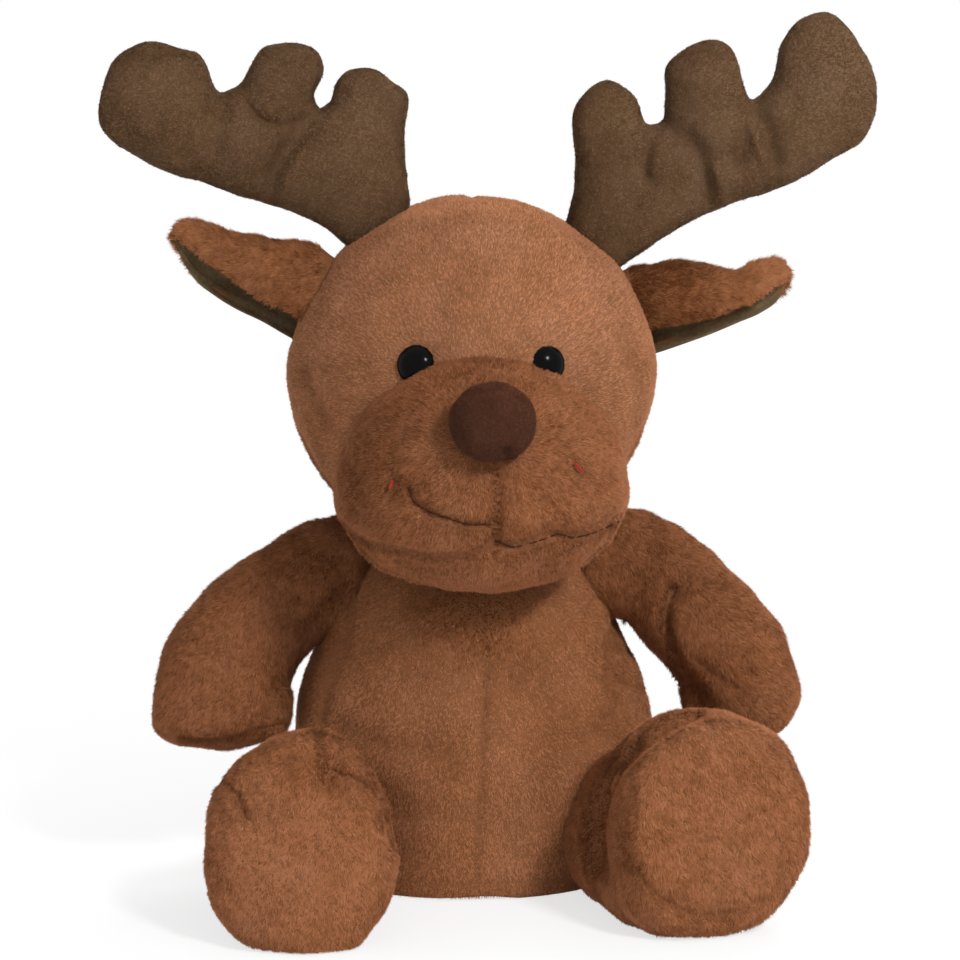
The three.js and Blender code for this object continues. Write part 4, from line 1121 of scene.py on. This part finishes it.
# The arms. A line runs from the shoulder, out, forward and down, in shares of the arm's length
SHOULDER = (40.358, 0.0, 94.355)
ARM_LENGTH = 70
ARM_HALF_WIDTH = 22
ARM_HALF_THICKNESS = 16
SHOULDER_CAP = 12
PAW_CAP = 10
ARM_SQUARENESS, PAW_SQUARENESS = 2.2, 3.3
ARM_SIDES = 150
ARM_LUMPS = (24, 0.8, 71)  # size, height and seed
ARMS = {
    "left": {
        "line": [
            [0, 0, 0], [0.2, 0.02, 0.05], [0.42, 0.07, 0.24], [0.54, 0.13, 0.45], [0.545, 0.18, 0.6],
        ],
        "width": 1,
        "sections": [
            [0, 0.84, 0.8], [0.25, 0.88, 0.9], [0.5, 0.84, 0.98], [0.8, 0.96, 1], [1, 1, 0.94],
        ],
        "bulges": [((-60, -12, 40), -2, 10), ((-53, -8, 70), 1, 9), ((-66, 0, 107), -3.5, 14)],
        # painted light on the paw and a painted shadow of the head on the shoulder
        "painted_shading": [((-90, -14, 60), 20, 0.3), ((-45, -15, 99), 12, -1.3)],
        "folds": [
            ([(-89.6, -94.2), (-84.3, -95), (-77.2, -94.7), (-67, -92.1), (-58, -89.8)], 1.2, 1.2),
            ([(-40, -50), (-46, -55), (-52, -60)], 1.2, 2.5),
        ],
    },
    "right": {
        "line": [
            [0, 0, -0.05], [0.21, 0.02, 0], [0.42, 0.05, 0.21], [0.58, 0.1, 0.41], [0.62, 0.13, 0.57],
        ],
        "width": 0.91,
        "sections": [
            [0, 0.9, 0.8], [0.25, 0.92, 0.92], [0.5, 0.91, 1], [0.8, 0.93, 1], [1, 0.97, 0.92],
        ],
        "bulges": [
            ((80, -18, 62), 2.5, 15), ((69, 0, 108), -2, 13), ((66, -20, 56), -3, 7),
            ((91, -18, 49), 3, 8), ((105, -14, 54), -2.5, 8),
        ],
        # a painted shadow of the head on the upper arm
        "painted_shading": [((54, -16, 98), 16, -0.8)],
        "folds": [
            ([(61.5, -49), (59.5, -54.9), (59.5, -61.4), (61.7, -69.4), (66.3, -77)], 3.0, 2.4),
            ([(61.5, -49), (68, -46.5), (76, -46)], 1.0, 2.4),
            ([(69, -70), (75, -75), (82, -79)], 0.7, 1.8),
        ],
    },
}


def build_arm(side):
    plan = ARMS[side]
    along = np.array(plan["line"]) * (ARM_LENGTH, -ARM_LENGTH, -ARM_LENGTH)
    line = on_side(side, SHOULDER + along)
    size = np.array([ARM_HALF_WIDTH * plan["width"], ARM_HALF_THICKNESS])
    caps = SHOULDER_CAP, PAW_CAP - PILE_SINK
    square = ARM_SQUARENESS, PAW_SQUARENESS
    surface = swept(line, plan["sections"], size, BACK, caps, ARM_SIDES, *square)
    comb = flow(unit(line[-1] - line[0]) + np.array([0, 0.4, -0.4]))
    look = ARM_CLOTH, 72, ARM_PILE
    build_limb(f"arm_{side}", surface, plan, ARM_LUMPS, ("skin", "filling"), look, comb)


# The legs. root and sole are steps from the hip: out, along y and up. The sole turns out and leans
# back, in degrees, and corners is how square it is
HIP = (39.254, -43.276, 27.0)
SOLE_HALF_WIDTH = 28
SOLE_HALF_HEIGHT = 33
HIP_CAP = 14
SOLE_ROUNDING = 12  # how far back from the sole its edge starts to round
LEG_SECTIONS = [
    [0, 0.56, 0.66], [0.3, 0.68, 0.8], [0.6, 0.87, 0.96], [0.85, 1.03, 1.04], [1, 1.06, 1.02],
]
LEG_SQUARENESS = 2.15
LEG_SIDES = 190
LEG_LUMPS = (26, 0.8, 81)
LEGS = {
    "left": {
        "root": (8, 8, -4),
        "sole": (17, -47, 4),
        "turn": 3,
        "lean": 18,
        "width": 0.97,
        "corners": 3.0,
        "bulges": [((-50, -70, 62), 3, 10)],
        # painted shade on the top of the leg and in the wedge beside it, and painted light on the foot
        "painted_shading": [((-36, -66, 54), 13, -1.3), ((-50, -74, 48), 8, -2.2), ((-58, -95, 30), 26, 0.5)],
        "folds": [
            ([(-73, -102), (-66, -101), (-58, -101.5)], 0.9, 2.6),
            ([(-42, -104.5), (-35, -107.5), (-29.5, -112), (-25.8, -119), (-24.5, -127)], 1.9, 2.2),
            ([(-79.5, -106), (-76, -108.5), (-73, -113), (-70.5, -119)], 1.4, 1.9),
            ([(-79.5, -110.7), (-77.8, -123.1), (-79.5, -138.6)], 0.9, 2.6),
            ([(-49, -93), (-47.5, -100), (-45, -106)], 2.0, 3.0),
        ],
    },
    "right": {
        "root": (1, 8, -9),
        "sole": (31, -44, 7.5),
        "turn": 16,
        "lean": 8,
        "width": 1,
        "corners": 3.8,
        "bulges": [((36, -66, 8), 6, 18), ((88, -78, 50), 1.5, 14), ((42, -80, 6), 4.5, 16)],
        # painted shade in the hollow between the foot's rim and the leg behind
        "painted_shading": [((30, -62, 28), 15, -1.8)],
        "folds": [
            ([
                (69.4, -86), (62, -89.5), (55.7, -93.5), (48, -99.5), (42.5, -106), (39.3, -115.3),
                (38.1, -125.2), (39.3, -134.5),
            ], 3.4, 2.8),
            ([
                (50.2, -110.7), (47.4, -124.6), (49, -131.4), (54.3, -140.4), (61.7, -146.3),
                (70.4, -149.4), (77.2, -149.1), (89.3, -145.7),
            ], 1.2, 2.1),
        ],
    },
}


def build_leg(side):
    plan = LEGS[side]
    hip = on_side(side, HIP)
    root, sole = (hip + on_side(side, plan[name]) for name in ("root", "sole"))
    normal = on_side(side, facing(plan["turn"], plan["lean"]))
    ankle = sole - normal * SOLE_ROUNDING
    third = np.linalg.norm(ankle - root) / 3
    a, b = root + unit(ankle - root) * third, ankle - normal * third
    t = np.linspace(0, 1, 40)[:, None]
    line = root * (1 - t) ** 3 + 3 * a * t * (1 - t) ** 2 + 3 * b * t * t * (1 - t) + ankle * t**3
    size = np.array([SOLE_HALF_WIDTH * plan["width"], SOLE_HALF_HEIGHT])
    caps = HIP_CAP, SOLE_ROUNDING - PILE_SINK
    surface = swept(line, LEG_SECTIONS, size, UP, caps, LEG_SIDES, LEG_SQUARENESS, plan["corners"])

    def comb(root, out):
        on_sole = np.clip((out @ normal - 0.3) / 0.4, 0, 1)[:, None]
        return on_side(side, (0.1, 0.5, -1)) * (1 - on_sole) + on_side(side, (0.15, 0, -1)) * on_sole

    look = LEG_CLOTH, 82, LEG_PILE
    build_limb(f"leg_{side}", surface, plan, LEG_LUMPS, ("skin", "sole", "filling"), look, comb)


build_torso()
build_head()
muzzle = build_muzzle()
build_eyes()
build_nose()
for side in SIDE_X:
    build_ear(side)
    build_antler(side)
    build_arm(side)
    build_leg(side)

for side, line in (("left", MOUTH_LEFT), ("right", MOUTH_RIGHT)):
    path = on_surface(line, *muzzle, 0.55)
    stitched(f"mouth_{side}_thread", path, brown_thread, 0.22, 2.0, 1.6)
for side, line in TACKS.items():
    path = on_surface(line, *muzzle, -0.5)
    stitched(f"tack_{side}_thread", path, red_thread, 0.4)


# The washers stay as the frame has them
def washer_material():
    nodes = Nodes("washer_nylon")
    tint = nodes.ramp(nodes.noise(3), [(0.3, colour(222, 221, 216)), (0.7, colour(236, 235, 231))])
    nodes.link(tint, nodes.shader.inputs["Base Color"])
    nodes.set(Roughness=0.45)
    return nodes.made


washer = washer_material()
for side in SIDE_X:
    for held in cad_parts[f"eye_washer_{side}"].material_slots:
        held.material = washer


# Floor, lights and camera. The floor takes the toy's shadow near it and is white further off
FLOOR_GREY = 0.9
FLOOR_RADIUS = 4
SHADOW_END = {"From_Min": 0.09, "From_Max": 0.25, "To_Min": 0.7}  # by metres from the middle
LAMP_AIM = Vector((0, 0, 0.13))  # the middle of the toy
LEVEL_LIGHT, OVERHEAD_LIGHT = 0.22, 0.8  # the studio is brighter overhead than level with the toy
WHITE = (1, 1, 1, 1)


def floor_material():
    nodes = Nodes("floor_white")
    nodes.set(Roughness=0.9, Base_Color=(FLOOR_GREY, FLOOR_GREY, FLOOR_GREY, 1))
    away = nodes.add("ShaderNodeVectorMath", operation="LENGTH")
    nodes.link(nodes.place(), away.inputs[0])
    far = nodes.mapped(away.outputs["Value"], **SHADOW_END)
    share = nodes.math("MULTIPLY", far, nodes.seen_rays())
    nodes.shown(share, nodes.shader, nodes.add("ShaderNodeEmission"), "Material Output")
    return nodes.made


bpy.ops.mesh.primitive_circle_add(vertices=96, radius=FLOOR_RADIUS, fill_type="NGON")
floor = bpy.context.object
floor.name = "floor"
floor.data.materials.append(floor_material())

studio = Nodes("studio", bpy.data.worlds)
bpy.context.scene.world = studio.made
paint = studio.tree.nodes["Background"]
white = studio.add("ShaderNodeBackground")
for background in (paint, white):
    background.inputs["Color"].default_value = WHITE
direction = studio.add("ShaderNodeSeparateXYZ")
studio.link(studio.add("ShaderNodeTexCoord").outputs["Generated"], direction.inputs[0])
level = studio.mapped(direction.outputs["Z"], To_Min=LEVEL_LIGHT, To_Max=OVERHEAD_LIGHT)
studio.link(level, paint.inputs["Strength"])
studio.shown(studio.seen_rays(), paint, white, "World Output")


def lamp(name, place, size, watts, shines=False):
    """A round softbox, its place and size in metres, that may be mirrored in the eyes."""
    data = bpy.data.lights.new(name, "AREA")
    data.shape, data.size, data.energy = "DISK", size, watts
    obj = bpy.data.objects.new(name, data)
    bpy.context.scene.collection.objects.link(obj)
    obj.location = Vector(place)
    obj.rotation_mode = "QUATERNION"
    obj.rotation_quaternion = (LAMP_AIM - obj.location).to_track_quat("-Z", "Y")
    obj.visible_glossy = shines


lamp("key", (0.75, -1.25, 1.15), 0.32, 27, True)
lamp("fill", (-0.5, -1.6, 0.3), 1.0, 5)
lamp("rim", (0.5, 1.0, 1.3), 0.9, 13)

camera_data = bpy.data.cameras.new("camera")
camera_data.lens = LENS_LENGTH
camera_data.sensor_width = 36
camera = bpy.data.objects.new("camera", camera_data)
bpy.context.scene.collection.objects.link(camera)
camera.location = Vector(view_from * MM)
aim = VIEW_CENTRE + view_right * VIEW_AIM[0] + view_up * VIEW_AIM[1]
camera.rotation_mode = "QUATERNION"
camera.rotation_quaternion = Vector(aim - view_from).to_track_quat("-Z", "Y")
camera_data.clip_start, camera_data.clip_end = 0.1, 20
bpy.context.scene.camera = camera
bpy.context.scene.view_settings.view_transform = "Standard"
